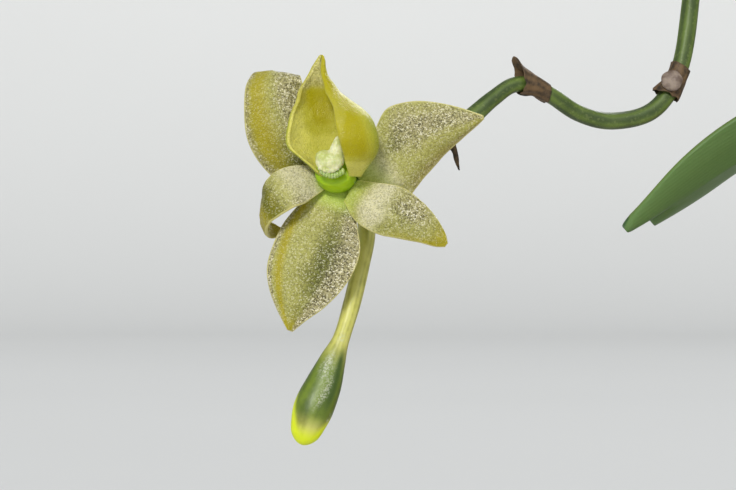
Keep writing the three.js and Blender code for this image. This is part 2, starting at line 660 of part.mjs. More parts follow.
const grownOvary = stalkAndOvary(FINE_GAP);
const grownColumn = column(FINE_GAP);
const grownAnther = antherCap(FINE_GAP);
const front = [grownColumn, grownAnther, lipAndSpur(FINE_GAP)];
const petals = [LOWER_PETAL, UPPER_PETAL].map((form) => tepal(form, FINE_GAP));
const behindPetals = [...front, ...petals, grownOvary];
const grownDorsal = tepal(DORSAL_SEPAL, FINE_GAP);
const grownRight = tepal(RIGHT_SEPAL, FINE_GAP);

addPart("column", column(), columnGreen);
addPart("anther_cap", clearOf(antherCap(), [grownColumn]), antherWhite);
addPart("lip_with_spur", clearOf(lipAndSpur(), [grownColumn, grownAnther]), lipYellow);
addPart("petal_lower", clearOf(tepal(LOWER_PETAL), front), sepalYellow);
addPart("petal_upper", clearOf(tepal(UPPER_PETAL), front), sepalYellow);
addPart("stalk_with_ovary", clearOf(stalkAndOvary(), front), spikeGreen);
addPart("sepal_dorsal", clearOf(tepal(DORSAL_SEPAL), behindPetals), sepalYellow);
addPart("sepal_right", clearOf(tepal(RIGHT_SEPAL), [...behindPetals, grownDorsal]), sepalYellow);
addPart("sepal_left", clearOf(tepal(LEFT_SEPAL), [...behindPetals, grownDorsal, grownRight]), sepalYellow);
addPart("flower_spike", flowerSpike().subtract(grownOvary), spikeGreen);

const grownSpike = flowerSpike(WIDE_GAP);
const grownRoots = ROOTS.map((form) => root(form, WIDE_GAP));
const grownLeaves = LEAVES.map((leaf) => leafBlade(leaf, FINE_GAP));
addPart("stem_with_sheaths", clearOf(leafSheaths(), [grownSpike, ...grownRoots, ...grownLeaves]), sheath);
ROOTS.forEach((form, i) => addPart(`root_${i + 1}`, root(form), rootGrey));
LEAVES.forEach((leaf, i) => addPart(`leaf_${i + 1}`, leafBlade(leaf), leafGreen));
addPart("clay_pot", clayPot(), clay);

const stemHole = new THREE.CylinderGeometry(STEM_HOLE_RADIUS, STEM_HOLE_RADIUS, 20, 14);
stemHole.rotateX(Math.PI / 2).translate(...stemAt(50));
addPart("bark_fill", clearOf(barkFill(), [solidOf(stemHole), ...grownRoots]), bark);

export default parts;
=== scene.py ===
# %% [markdown]
# # A small orchid in a clay pot
# This lesson builds the looks of a potted Angraecum ochraceum in Blender. The plant has a short stem, a flat
# fan of strap leaves and thick grey roots, and one thin spike hangs a single yellow-green flower beside the
# pot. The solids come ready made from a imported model. Each step adds a finer piece that keeps the place and
# the form of its solid, so we never guess where anything goes.

import bisect
from functools import cache
from math import cos, exp, hypot, pi, radians, sin, sqrt, tanh

import bmesh
import bpy
from mathutils import Euler, Matrix, Vector, noise


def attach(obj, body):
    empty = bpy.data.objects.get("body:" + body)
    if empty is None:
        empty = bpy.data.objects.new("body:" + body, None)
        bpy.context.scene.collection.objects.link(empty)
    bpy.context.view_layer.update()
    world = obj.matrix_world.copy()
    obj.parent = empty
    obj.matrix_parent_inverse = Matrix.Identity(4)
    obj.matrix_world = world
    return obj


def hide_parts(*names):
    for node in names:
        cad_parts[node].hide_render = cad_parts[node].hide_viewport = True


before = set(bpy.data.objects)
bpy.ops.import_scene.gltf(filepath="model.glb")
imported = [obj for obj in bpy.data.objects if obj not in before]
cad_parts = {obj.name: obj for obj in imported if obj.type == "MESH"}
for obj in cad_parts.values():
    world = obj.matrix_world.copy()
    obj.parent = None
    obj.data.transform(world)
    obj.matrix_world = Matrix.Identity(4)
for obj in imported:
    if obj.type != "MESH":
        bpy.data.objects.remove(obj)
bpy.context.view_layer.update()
print("solids:", len(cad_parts))

# %% [markdown]
# ## Smooth numbers
# A petal's width changes smoothly from base to tip. Each outline could be drawn by hand, but a few pairs of
# place and value, joined by a smooth curve, are easier to read and to change.

# %% A smooth value through pairs
MM = 0.001


def through(pairs):
    places, values = zip(*pairs)
    last = len(pairs) - 1

    def slope(k):
        a, b = max(k - 1, 0), min(k + 1, last)
        return (values[b] - values[a]) / (places[b] - places[a])

    def value(s):
        i = 0
        while i < last - 1 and s > places[i + 1]:
            i += 1
        span = places[i + 1] - places[i]
        u = min(max((s - places[i]) / span, 0), 1)
        rise = (3 - 2 * u) * u * u
        bend = slope(i) * u * (1 - u) ** 2 - slope(i + 1) * u * u * (1 - u)
        return values[i] + (values[i + 1] - values[i]) * rise + span * bend

    return value


def step_up(value, low, high):
    u = min(max((value - low) / (high - low), 0), 1)
    return u * u * (3 - 2 * u)


def bell(value, middle, reach):
    return exp(-((value - middle) / reach) ** 2)


print("half way:", through([(0, 1), (0.5, 3), (1, 2)])(0.25))

# %% [markdown]
# ## Smooth lines
# Stalks, roots and midribs follow lines through space. A spline can pass through every named point, and
# reading it by its share of length keeps rings evenly spaced. Each place also gets two directions across
# the line, turned as little as possible from one place to the next, so a tube built on them never twists.

# %% A line that is read by its length
class Route:
    STEPS = 480

    def __init__(self, points):
        self.points = [Vector(p) for p in points]
        self.spots = [self.spot(k / self.STEPS) for k in range(self.STEPS + 1)]
        self.reach = [0.0]
        for a, b in zip(self.spots, self.spots[1:]):
            self.reach.append(self.reach[-1] + (b - a).length)
        self.length = self.reach[-1]

    def spot(self, u):
        spans = len(self.points) - 1
        i = min(int(u * spans), spans - 1)
        w = u * spans - i
        b, c = self.points[i], self.points[i + 1]
        a = self.points[i - 1] if i else 2 * b - c
        d = self.points[i + 2] if i + 2 <= spans else 2 * c - b
        ab, bc, cd = ((q - p).length ** 0.5 or 1 for p, q in ((a, b), (b, c), (c, d)))
        leave = ((b - a) / ab - (c - a) / (ab + bc) + (c - b) / bc) * bc
        enter = ((c - b) / bc - (d - b) / (bc + cd) + (d - c) / cd) * bc
        square = 3 * (c - b) - 2 * leave - enter
        cube = 2 * (b - c) + leave + enter
        return b + leave * w + square * w**2 + cube * w**3

    def at(self, s):
        goal = min(max(s, 0), 1) * self.length
        k = min(max(bisect.bisect_left(self.reach, goal), 1), self.STEPS)
        share = (goal - self.reach[k - 1]) / max(self.reach[k] - self.reach[k - 1], 1e-9)
        return self.spots[k - 1].lerp(self.spots[k], share)

    def heading(self, s):
        return (self.at(s + 0.004) - self.at(s - 0.004)).normalized()

    def frames(self, places, facing=None):
        found = []
        deep = None
        for s in places:
            along = self.heading(s)
            if facing:
                deep = Vector(facing)
            elif deep is None:
                deep = along.orthogonal()
            deep = (deep - along * deep.dot(along)).normalized()
            found.append((self.at(s), deep.cross(along), deep))
        return found


print("length of an arc:", Route([(0, 0, 0), (3, 0, 4), (6, 0, 0)]).length)

# %% [markdown]
# ## Thin sheets and rods
# Sepals, petals and leaves are thin sheets. The grid operator makes a flat square, an extrusion closes it
# into a thin box, and a rule moves each corner, so the rim can be thinner than the middle. Stalks, roots and
# spurs are rods: the same grid is rolled up, its seam is welded and its ends are filled. Rows crowd together
# near rims and ends, where forms are rounder.

# %% Make a thin closed sheet
# What a material can read on every corner: a yellow wash, which on the flower paints light where it falls
# below zero, a bloom of lilac cells with stronger painted glints, a dark shade, a green glow, the distance to
# the rim and the distance across in millimetres, and the side of a sheet.
MARKS = ("wash", "bloom", "shade", "glow", "rim", "across", "side")


def mark_layers(shape):
    return {name: shape.verts.layers.float.new(name) for name in MARKS}


def set_marks(corner, layers, marks, *where):
    for name, rule in marks.items():
        corner[layers[name]] = rule(*where)


def blade(across, along, place, marks):
    sheet = bmesh.new()
    bmesh.ops.create_grid(sheet, x_segments=across, y_segments=along, size=1)
    raised = bmesh.ops.extrude_face_region(sheet, geom=sheet.faces[:], use_keep_orig=True)
    corners = [v for v in raised["geom"] if isinstance(v, bmesh.types.BMVert)]
    bmesh.ops.translate(sheet, verts=corners, vec=(0, 0, 1))
    layers = mark_layers(sheet)
    for v in sheet.verts:
        s = (v.co.y + 1) / 2
        t = v.co.x * (1.3 - 0.3 * v.co.x**2)
        side = 2 * v.co.z - 1
        set_marks(v, layers, marks, s, t, side)
        v.co = place(s, t, side)
    bmesh.ops.recalc_face_normals(sheet, faces=sheet.faces[:])
    return sheet


print("marks on a corner:", *MARKS)


# %% Make a closed rod
# A rod is as deep as it is wide, unless it is flattened.
def rod(route, size, sides, steps, facing=None, skin=None, marks=None, flat=None):
    tube = bmesh.new()
    bmesh.ops.create_grid(tube, x_segments=sides, y_segments=steps, size=1)
    places = [(1 - cos(pi * k / steps)) / 2 for k in range(steps + 1)]
    frames = route.frames(places, facing)
    layers = mark_layers(tube)
    for v in tube.verts:
        k = round((v.co.y + 1) / 2 * steps)
        turn = pi * (v.co.x + 1)
        s = places[k]
        centre, wide, deep = frames[k]
        lift = skin(s, turn) if skin else 0
        depth = size(s) * flat(s) if flat else size(s)
        set_marks(v, layers, marks or {}, s, turn)
        v.co = centre + wide * cos(turn) * (size(s) + lift) + deep * sin(turn) * (depth + lift)
    bmesh.ops.remove_doubles(tube, verts=tube.verts[:], dist=1e-5)
    bmesh.ops.holes_fill(tube, edges=[e for e in tube.edges if e.is_boundary])
    bmesh.ops.recalc_face_normals(tube, faces=tube.faces[:])
    return tube


def quarter(share):
    return sqrt(max(1 - (1 - min(share, 1)) ** 2, 0.0004))


def rounded(size, start, end):
    return lambda s: size(s) * (quarter(s / start) if start else 1) * quarter((1 - s) / end)


def bumps(turn, along, wide=1, shift=Vector()):
    return noise.noise(Vector((wide * cos(turn), wide * sin(turn), along)) + shift)


print("size near a rounded end:", rounded(lambda s: 1, 0.1, 0.1)(0.02))


# %% Make a ball
def ball(centre, radii, detail):
    lump = bmesh.new()
    bmesh.ops.create_icosphere(lump, subdivisions=detail, radius=1)
    mark_layers(lump)
    bmesh.ops.scale(lump, verts=lump.verts[:], vec=radii)
    bmesh.ops.translate(lump, verts=lump.verts[:], vec=centre)
    return lump


# %% [markdown]
# ## From a shape to a piece
# A mesh becomes a piece of the plant in four steps: it is scaled from millimetres to metres, gets a material,
# is tied to the root body and hides the solid it stands for. In one helper, no piece can miss a step.

# %% Finish a piece
def put(name, data):
    made = bpy.data.objects.new(name, data)
    bpy.context.scene.collection.objects.link(made)
    return made


def joined(name, shapes, move=Matrix()):
    mesh = bpy.data.meshes.new(name)
    whole = bmesh.new()
    for shape in shapes:
        shape.to_mesh(mesh)
        whole.from_mesh(mesh)
        shape.free()
    bmesh.ops.transform(whole, verts=whole.verts[:], matrix=move)
    for face in whole.faces:
        face.smooth = True
    whole.to_mesh(mesh)
    whole.free()
    return put(name, mesh)


def piece(name, shapes, material, slot, *nodes):
    made = joined(name, shapes, Matrix.Scale(MM, 4))
    made.data.materials.append(material)
    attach(made, "root")
    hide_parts(*nodes)
    print(name, "faces:", len(made.data.polygons))
    return made


# %% [markdown]
# ## Writing materials as sums
# A material is a graph of nodes, and its sums are easier to read as Python. A small class wraps a socket, so
# plus, minus and times add Math nodes. One method makes any other node from its type, settings and sockets.

# %% A socket that can be calculated with
class Value:
    def __init__(self, finish, socket):
        self.finish = finish
        self.socket = socket

    def maths(self, operation, first, second=0.0):
        return self.finish.node("ShaderNodeMath", {"operation": operation}, {0: first, 1: second})

    def __add__(self, other):
        return self.maths("ADD", self, other)

    def __radd__(self, other):
        return self.maths("ADD", other, self)

    def __sub__(self, other):
        return self.maths("SUBTRACT", self, other)

    def __rsub__(self, other):
        return self.maths("SUBTRACT", other, self)

    def __mul__(self, other):
        return self.maths("MULTIPLY", self, other)

    def __rmul__(self, other):
        return self.maths("MULTIPLY", other, self)

    def sine(self):
        return self.maths("SINE", self)


# %% A material under construction
class Finish:
    def __init__(self, name):
        self.material = bpy.data.materials.new(name)
        self.material.use_nodes = True
        self.tree = self.material.node_tree
        self.tree.nodes.clear()
        self.place = self.node("ShaderNodeTexCoord", output="Object")

    def node(self, kind, settings=None, sockets=None, output=None):
        made = self.tree.nodes.new(kind)
        for key, value in (settings or {}).items():
            setattr(made, key, value)
        for key, value in (sockets or {}).items():
            taken = [i for i in made.inputs if i.enabled and i.name == key]
            socket = made.inputs[key] if isinstance(key, int) else taken[0]
            if isinstance(value, Value):
                self.tree.links.new(value.socket, socket)
            else:
                socket.default_value = value
        shown = [o for o in made.outputs if o.enabled and output in (None, o.name)]
        return Value(self, shown[0]) if shown else None

    def mark(self, name):
        return self.node("ShaderNodeAttribute", {"attribute_name": name}, output="Fac")

    def stretched(self, x, y, z):
        return self.node("ShaderNodeMapping", {}, {"Vector": self.place, "Scale": (x, y, z)})

    def noise(self, scale, detail=2.0, rough=0.5, at=None):
        sockets = {"Vector": at or self.place, "Scale": scale, "Detail": detail, "Roughness": rough}
        return self.node("ShaderNodeTexNoise", {}, sockets, "Fac")

    def cells(self, scale, output="Distance"):
        return self.node("ShaderNodeTexVoronoi", {}, {"Vector": self.place, "Scale": scale}, output)

    def draw(self, scale):
        return self.node("ShaderNodeSeparateColor", {}, {"Color": self.cells(scale, "Color")}, "Red")

    def smooth(self, value, low, high):
        sockets = {"Value": value, "From Min": low, "From Max": high}
        return self.node("ShaderNodeMapRange", {"interpolation_type": "SMOOTHSTEP"}, sockets)

    def mix(self, factor, a, b):
        a, b = (c if isinstance(c, Value) else tint(*c) for c in (a, b))
        return self.node("ShaderNodeMix", {"data_type": "RGBA"}, {"Factor": factor, "A": a, "B": b})

    def bump(self, height, distance, strength):
        sockets = {"Height": height, "Distance": distance, "Strength": strength}
        return self.node("ShaderNodeBump", {}, sockets)

    # The fourth value makes a skin soft: how much, how far for each colour, and the scale in metres.
    def close(self, colour, rough, normal=None, soft=None, shine=0.5):
        sockets = {"Base Color": colour, "Roughness": rough, "Specular IOR Level": shine}
        if normal:
            sockets["Normal"] = normal
        if soft:
            sockets.update(zip(("Subsurface Weight", "Subsurface Radius", "Subsurface Scale"), soft))
        skin = self.node("ShaderNodeBsdfPrincipled", {}, sockets)
        self.node("ShaderNodeOutputMaterial", {}, {"Surface": skin})
        print(self.material.name, "nodes:", len(self.tree.nodes))
        return self.material


# Colours are given as a screen shows them, from 0 to 255.
def tint(red, green, blue):
    linear = [((c / 255 + 0.055) / 1.055) ** 2.4 if c > 10 else c / 255 / 12.92 for c in (red, green, blue)]
    return (*linear, 1.0)


# %% [markdown]
# ## The skin of the flower
# Up close the flower glistens: its skin is a layer of tiny domed cells, each about a tenth of a millimetre
# wide, and single cells shine white while their neighbours stay dark. An image could show that, but it would
# stretch. The texture of cells gives one random number and one dome to each, so the same cells colour the
# skin, roughen it and raise it. The white cells are painted glints and the dark cells are painted shade.

# %% A glistening skin
def glistening(name, tones, sizes, rim_light_width, soft, sparkle):
    skin = Finish(name)
    patch = skin.noise(1500, 3)
    slow = skin.noise(480, 2)
    lot = skin.draw(sizes)
    domes = 1 - skin.cells(sizes) * 1.25
    wash = skin.smooth(skin.mark("wash") + 0.4 * (slow - 0.5), 0.0, 1.0)
    # Where the wash falls below zero the skin turns pale. This is painted light: on the petals it stands in
    # for highlights, and on the right sepal and in the lip it lifts shade.
    pale = skin.smooth(skin.mark("wash") + 0.4 * (patch - 0.5), -0.1, -1.0)
    shade = skin.smooth(skin.mark("shade") + 0.6 * (patch - 0.5), 0.0, 1.0)
    bloom = skin.smooth(skin.mark("bloom") + 0.6 * (patch - 0.5), 0.0, 1.0)
    colour = skin.mix(wash, tones["base"], tones["yellow"])
    colour = skin.mix(pale, colour, tones["pale"])
    colour = skin.mix(shade, colour, tones["olive"])
    colour = skin.mix(bloom * 0.7, colour, tones["lilac"])
    # Painted glints and painted shade: single cells turn near white as glints and the cells between them are
    # darkened as shade. The bloom and the shade marks make both stronger.
    painted_gap_shade = skin.smooth(lot, 0.5, 0.1)
    painted_glint_cells = skin.smooth(lot, 0.7, 0.97)
    calm = sparkle * (1 - 0.5 * wash)
    colour = skin.mix(painted_gap_shade * (0.32 * calm + 0.3 * shade + 0.4 * bloom), colour, tones["dark"])
    colour = skin.mix(painted_glint_cells * (0.32 * calm + 0.08 * shade + 0.4 * bloom), colour, tones["painted_glint"])
    colour = skin.mix(skin.mark("glow"), colour, tones["green"])
    # Painted rim light: a bright line along the thin rim of each blade.
    rim = skin.smooth(skin.mark("rim") + 0.05 * (patch - 0.5), rim_light_width, 0.3 * rim_light_width)
    colour = skin.mix(rim * 0.7, colour, tones["rim"])
    normal = skin.bump(domes + 0.5 * patch, 0.00002, 0.8)
    return skin.close(colour, 0.44 - 0.2 * painted_glint_cells, normal, (soft, (1.0, 0.95, 0.45), 0.00015), 0.28)


# Painted light among the tones: pale stands in for highlights and lifts shaded parts, dark is the painted
# shade between the glints, the near white is the painted glint, and rim is painted light along the thin rim.
TEPAL_TONES = {
    "base": (172, 169, 92),
    "yellow": (168, 156, 24),
    "pale": (206, 200, 158),
    "olive": (96, 100, 14),
    "lilac": (164, 154, 120),
    "dark": (58, 52, 18),
    "painted_glint": (240, 234, 206),
    "green": (190, 212, 88),
    "rim": (216, 208, 136),
}
# For the lip, pale is painted light that lifts the hollow of the hood, dark is the painted shade between
# glints, the lightest tone is the painted glint, and rim is painted light along the rim.
LIP_TONES = {
    "base": (188, 182, 52),
    "yellow": (172, 162, 0),
    "pale": (224, 218, 104),
    "olive": (182, 178, 84),
    "lilac": (180, 172, 124),
    "dark": (128, 122, 14),
    "painted_glint": (230, 224, 146),
    "green": (150, 164, 44),
    "rim": (190, 184, 76),
}
TEPAL_SKIN = glistening("glistening tepal", TEPAL_TONES, 17500, 0.08, 0.4, 1)
LIP_SKIN = glistening("glistening lip", LIP_TONES, 16000, 0.15, 0.5, 0.4)

# %% [markdown]
# ## Sepals and petals
# The flower has three sepals outside and two petals inside. Each is a fleshy blade with a thin rim, so its
# sheet is thick in the middle and thins out over the last half millimetre. The spine, the way the face
# looks, and the width on either side of the spine are those of the solid. A little noise bends the skin,
# because a grown blade is never quite smooth.

# %% Where the flower hangs
FLOWER_CENTRE = Vector((-74, -30, 78))
TO_VIEWER = (0, -1, 0)


def from_flower(points):
    return [Vector(p) + FLOWER_CENTRE for p in points]


print("the flower hangs at:", *FLOWER_CENTRE)


# %% A sepal or petal
RIM_THICKNESS = 0.15
FLESH = 0.27


def round_rim(distance, thickness):
    inside = min(max(distance, 0) / (thickness / 2), 1)
    return thickness * sqrt(max(1 - (1 - inside) ** 2, 0.01))


def tepal(form):
    curve = Route(from_flower(form["spine"]))
    faces = Route(form["facing"])
    right, left = through(form["right"]), through(form["left"])

    @cache
    def row(s):
        ahead = curve.heading(s)
        face = faces.spot(s).normalized()
        face = (face - ahead * face.dot(ahead)).normalized()
        return curve.at(s), face, face.cross(ahead), right(s), left(s)

    def half(s, t):
        return row(s)[3] if t < 0 else row(s)[4]

    def rim(s, t):
        return min(half(s, t) * (1 - abs(t)), curve.length * (1 - s))

    def place(s, t, side):
        centre, face, wide, _, _ = row(s)
        spot = centre + wide * half(s, t) * t + face * form["cross"](s, t)
        ripple = 0.06 * noise.noise(spot * 0.9) + 0.02 * noise.noise(spot * 3.1)
        thick = round_rim(rim(s, t), RIM_THICKNESS + FLESH * step_up(rim(s, t), 0, 1))
        grain = 0.01 * noise.noise(spot * 6 + Vector((0, 0, 9 * side)))
        return spot + face * (ripple + side * (thick / 2 + grain))

    def both_sides(rule):
        return lambda s, t, side: rule(s, t)

    rules = {**form, "rim": rim}
    return blade(100, 150, place, {name: both_sides(rules[name]) for name in MARKS if name in rules})


DORSAL_SEPAL = {
    "spine": [(-0.3, 0.75, 0), (-0.8, 0.35, -1.5), (-1.45, 0.05, -3.4), (-2.1, 0, -5.4), (-2.7, 0.15, -7.15)],
    "facing": [(0, -1, 0.2), (0, -1, 0), (0, -1, 0)],
    "right": [
        (0, 0.85), (0.2, 1.55), (0.36, 1.98), (0.52, 2.12), (0.66, 2.05), (0.79, 1.6), (0.9, 0.92), (1, 0.14),
    ],
    "left": [
        (0, 0.85), (0.2, 1.4), (0.36, 2), (0.5, 2.06), (0.65, 1.75), (0.79, 1.2), (0.9, 0.6), (1, 0.14),
    ],
    "cross": lambda s, t: (0.32 * t * t - (1.2 * (t + 0.5) ** 2 if t < -0.5 else 0)) * sin(pi * s),
    "wash": lambda s, t: 0.85 * bell(t, 0.25 * s - 0.88, 0.12) + 0.7 * step_up(s, 0.87, 1)
    + 0.15 * step_up(t, -0.4, 0),
    "bloom": lambda s, t: 1.1 * step_up(t, 0.25 - 0.3 * s, 0.8) + 0.8 * step_up(-t, 0.82, 0.94) - 0.05,
    "shade": lambda s, t: 0.9 * bell(t, 0.35 - 0.35 * max(s - 0.5, 0), 0.48) * bell(s, 0.52, 0.36),
    "glow": lambda s, t: 0.9 * step_up(-s, -0.22, -0.06),
}
LOWER_PETAL = {
    "spine": [
        (0.3, 0.2, -0.3), (1.3, -0.45, -0.85), (2.65, -0.85, -1.4), (3.9, -0.8, -2.1), (4.95, -0.45, -2.95),
    ],
    "facing": [(0.1, -1, 0.1), (0, -1, 0.2), (0.1, -1, 0.1)],
    "right": [(0, 0.65), (0.2, 1.2), (0.42, 1.3), (0.62, 1.05), (0.8, 0.72), (0.93, 0.42), (1, 0.12)],
    "left": [(0, 0.65), (0.2, 1.1), (0.42, 1.3), (0.62, 1.1), (0.8, 0.75), (0.93, 0.43), (1, 0.12)],
    "cross": lambda s, t: -0.3 * t * t * sin(pi * s),
    # Below zero near the base, the wash paints a pale highlight.
    "wash": lambda s, t: 0.1 + 0.4 * step_up(-t, 0.5, 0.9) + 0.8 * step_up(s, 0.7, 1)
    - 1.1 * bell(s, 0.28, 0.16),
    "bloom": lambda s, t: 0.75 * bell(s, 0.6, 0.22) * step_up(t, -0.8, 0.3) - 0.05,
    "shade": lambda s, t: 0.6 * bell(s, 0.54, 0.18) * bell(t, 0.1, 0.6)
    + 0.3 * bell(s, 0.42, 0.1) * step_up(-t, 0.2, 0.8) - 0.05,
    "glow": lambda s, t: 0.4 * step_up(-s, -0.2, -0.04),
}
RIGHT_SEPAL = {
    "spine": [
        (0.7, 1, 0.25), (1.86, 0.95, 1.1), (2.94, 0.9, 1.8), (4.16, 0.8, 2.5), (5.5, 0.7, 3),
        (6.8, 0.6, 3.33),
    ],
    "facing": [(0, -1, 0), (0, -1, 0), (0.1, -1, 0)],
    "right": [
        (0, 0.6), (0.12, 1.3), (0.24, 2.02), (0.3, 1.95), (0.4, 1.71), (0.55, 1.42), (0.75, 0.94),
        (0.9, 0.48), (1, 0.1),
    ],
    "left": [
        (0, 0.5), (0.18, 0.95), (0.3, 1.64), (0.42, 2.14), (0.55, 1.96), (0.75, 1.2), (0.9, 0.54), (1, 0.1),
    ],
    "cross": lambda s, t: -0.35 * t * t * sin(pi * s) - (0.8 * (t + 0.5) ** 2 if t < -0.5 else 0),
    # Below zero at the base, the wash paints light over the shade that the lip's hood casts there.
    "wash": lambda s, t: 0.12 + 0.6 * step_up(-t, 0.6, 1) + 0.3 * step_up(s, 0.85, 1)
    - 0.9 * bell(s, 0.16, 0.14),
    "bloom": lambda s, t: 0.85 * bell(t, 0.35, 0.65) * step_up(s, 0.2, 0.5)
    + 0.5 * step_up(-t, 0.6, 0.9) - 0.05,
    "shade": lambda s, t: 0.6 * bell(t, 0.3, 0.35) * bell(s, 0.38, 0.16)
    + 0.45 * bell(t, 0.2, 0.35) * bell(s, 0.7, 0.12) - 0.05,
    "glow": lambda s, t: 0.5 * step_up(-s, -0.25, -0.08),
}
LEFT_SEPAL = {
    "spine": [
        (-0.5, 1.2, 0.3), (-1.8, 1.3, 1.6), (-2.75, 1.3, 2.9), (-3.25, 1.35, 4.1), (-3.4, 1.6, 5.03),
        (-3.2, 2.1, 5.45), (-2.92, 2.9, 5.2),
    ],
    "facing": [(0, -1, 0), (0, -1, 0), (0, -1, 0.1), (0, -0.7, 0.8), (0, 0.2, 1)],
    "right": [(0, 0.35), (0.26, 0.85), (0.48, 1.2), (0.68, 1.3), (0.84, 1.25), (1, 0.35)],
    "left": [
        (0, 0.7), (0.13, 1.7), (0.26, 2.1), (0.48, 2.17), (0.67, 1.72), (0.8, 1.45), (0.88, 1.32), (1, 0.5),
    ],
    "cross": lambda s, t: -0.4 * t * t * sin(pi * min(1, s * 1.1)),
    "wash": lambda s, t: 0.05 + 0.75 * bell(t, 0.65, 0.38),
    "bloom": lambda s, t: 0.8 * step_up(-t, -0.45, 0.3) + 0.6 * step_up(t, 0.75, 0.95),
    "shade": lambda s, t: 0.7 * bell(s, 0.25, 0.2) * bell(t, 0.3, 0.5) + 0.35 * step_up(t, 0.7, 1) - 0.05,
}
UPPER_PETAL = {
    "spine": [
        (-1.2, 0.25, 0.3), (-2.2, -0.35, 0.15), (-3.1, -0.8, -0.2), (-3.8, -0.55, -0.95),
        (-4.02, 0.25, -1.75), (-3.75, 1.2, -2.2), (-3.05, 1.85, -2.25),
    ],
    "facing": [
        (0, -1, 0.2), (-0.1, -1, 0.3), (-0.7, -1, 0.2), (-1, -0.2, 0), (-0.9, 0.5, -0.4), (-0.6, 0.8, -0.3),
    ],
    "right": [(0, 0.6), (0.2, 0.95), (0.4, 1), (0.6, 0.82), (0.8, 0.52), (0.92, 0.36), (1, 0.1)],
    "left": [
        (0, 0.6), (0.12, 0.95), (0.25, 1.18), (0.4, 1.14), (0.6, 0.86), (0.8, 0.56), (0.92, 0.36), (1, 0.1),
    ],
    "cross": lambda s, t: -0.15 * t * t * sin(pi * s),
    # Below zero near the base, the wash paints a pale highlight on the face.
    "wash": lambda s, t: -1.1 * bell(s, 0.16, 0.16) + 1.1 * step_up(s, 0.34, 0.52),
    "bloom": lambda s, t: 0.3 * bell(s, 0.2, 0.16) - 0.1
    + 0.4 * step_up(t, 0.5, 0.9) * step_up(-s, -0.5, -0.3),
    "shade": lambda s, t: 0.8 * bell(s, 0.48, 0.09) - 0.05,
    "glow": lambda s, t: 0.35 * step_up(-s, -0.1, 0),
}

# %% Build the five blades
piece("dorsal_sepal", [tepal(DORSAL_SEPAL)], TEPAL_SKIN, "tepal", "sepal_dorsal")
piece("right_sepal", [tepal(RIGHT_SEPAL)], TEPAL_SKIN, "tepal", "sepal_right")
piece("left_sepal", [tepal(LEFT_SEPAL)], TEPAL_SKIN, "tepal", "sepal_left")
piece("lower_petal", [tepal(LOWER_PETAL)], TEPAL_SKIN, "tepal", "petal_lower")
piece("upper_petal", [tepal(UPPER_PETAL)], TEPAL_SKIN, "tepal", "petal_upper")

# %% [markdown]
# ## The lip
# The lip is the flower's own odd petal. It is a pointed hood that opens to the viewer's left, and its right
# side wraps forward over the column. Its solid is a half tube whose middle, width, depth and edges change
# with height, and the sheet here follows the same tables. Near the top both edges close into the beak.

# %% The hood and its beak
LIP_FOOT, LIP_TIP, LIP_SHEET = 0.4, 6.35, 0.22
LIP_MIDDLE = through([
    (0.4, -0.2), (0.95, -0.3), (1.3, -0.4), (1.75, -0.58), (2.4, -0.68), (3.2, -0.76), (3.65, -0.88),
    (4.1, -1.08), (4.5, -1.28), (4.87, -1.33), (5.31, -1.35), (5.75, -1.3), (6.04, -1.22), (6.35, -1.16),
])
LIP_HALF_WIDTH = through([
    (0.4, 1), (0.95, 1.5), (1.3, 1.86), (1.75, 2.22), (2.4, 2.3), (3.2, 2.07), (3.65, 1.82), (4.1, 1.42),
    (4.5, 1.12), (4.87, 0.86), (5.31, 0.56), (5.75, 0.38), (6.04, 0.27), (6.35, 0.12),
])
LIP_DEPTH = through([
    (0.4, -0.3), (0.95, -0.8), (1.75, -1.25), (2.4, -1.4), (3.2, -1.3), (4.1, -0.95), (5, -0.65), (5.7, -0.5),
    (6.35, -0.42),
])
LIP_HALF_DEPTH = through([
    (0.4, 1.05), (0.95, 1.5), (1.75, 1.65), (2.4, 1.62), (3.2, 1.45), (4.1, 1.08), (4.6, 0.8), (5, 0.58),
    (5.5, 0.36), (6.04, 0.2), (6.35, 0.1),
])
LIP_RIGHT_EDGE = through([
    (0.4, -62), (0.95, -75), (1.3, -77), (1.75, -78), (2.4, -81), (3.2, -82), (4.1, -74),
    (4.9, -64), (6.35, -54),
])
LIP_LEFT_EDGE = through([(0.4, 200), (0.95, 182), (1.75, 170), (3.2, 164), (4.9, 164), (6.35, 166)])


def lip_height(s):
    return LIP_FOOT + (LIP_TIP - LIP_FOOT) * s


def lip_rim(s, t):
    high = lip_height(s)
    arc = radians(LIP_LEFT_EDGE(high) - LIP_RIGHT_EDGE(high))
    reach = (LIP_HALF_WIDTH(high) + LIP_HALF_DEPTH(high)) / 2
    return min(arc * reach / 2 * (1 - abs(t)), 1.4 * (LIP_TIP - high))


def lip_place(s, t, side):
    high = lip_height(s)
    turn = radians(LIP_LEFT_EDGE(high) + (LIP_RIGHT_EDGE(high) - LIP_LEFT_EDGE(high)) * (t + 1) / 2)
    full = LIP_SHEET + 0.07 * step_up(t, -0.2, 0.8)
    full = min(full, 1.5 * LIP_HALF_DEPTH(high), 1.5 * LIP_HALF_WIDTH(high))
    thick = round_rim(lip_rim(s, t), full)
    inset = full / 2 - side * thick / 2
    spot = FLOWER_CENTRE + Vector((
        LIP_MIDDLE(high) + (LIP_HALF_WIDTH(high) - inset) * cos(turn),
        LIP_DEPTH(high) + (LIP_HALF_DEPTH(high) - inset) * sin(turn),
        high,
    ))
    out = Vector((cos(turn), sin(turn), 0))
    ripple = 0.05 * noise.noise(spot * 1.1) + 0.012 * noise.noise(spot * 4)
    return spot + out * ripple * step_up(6.3 - high, 0, 1)


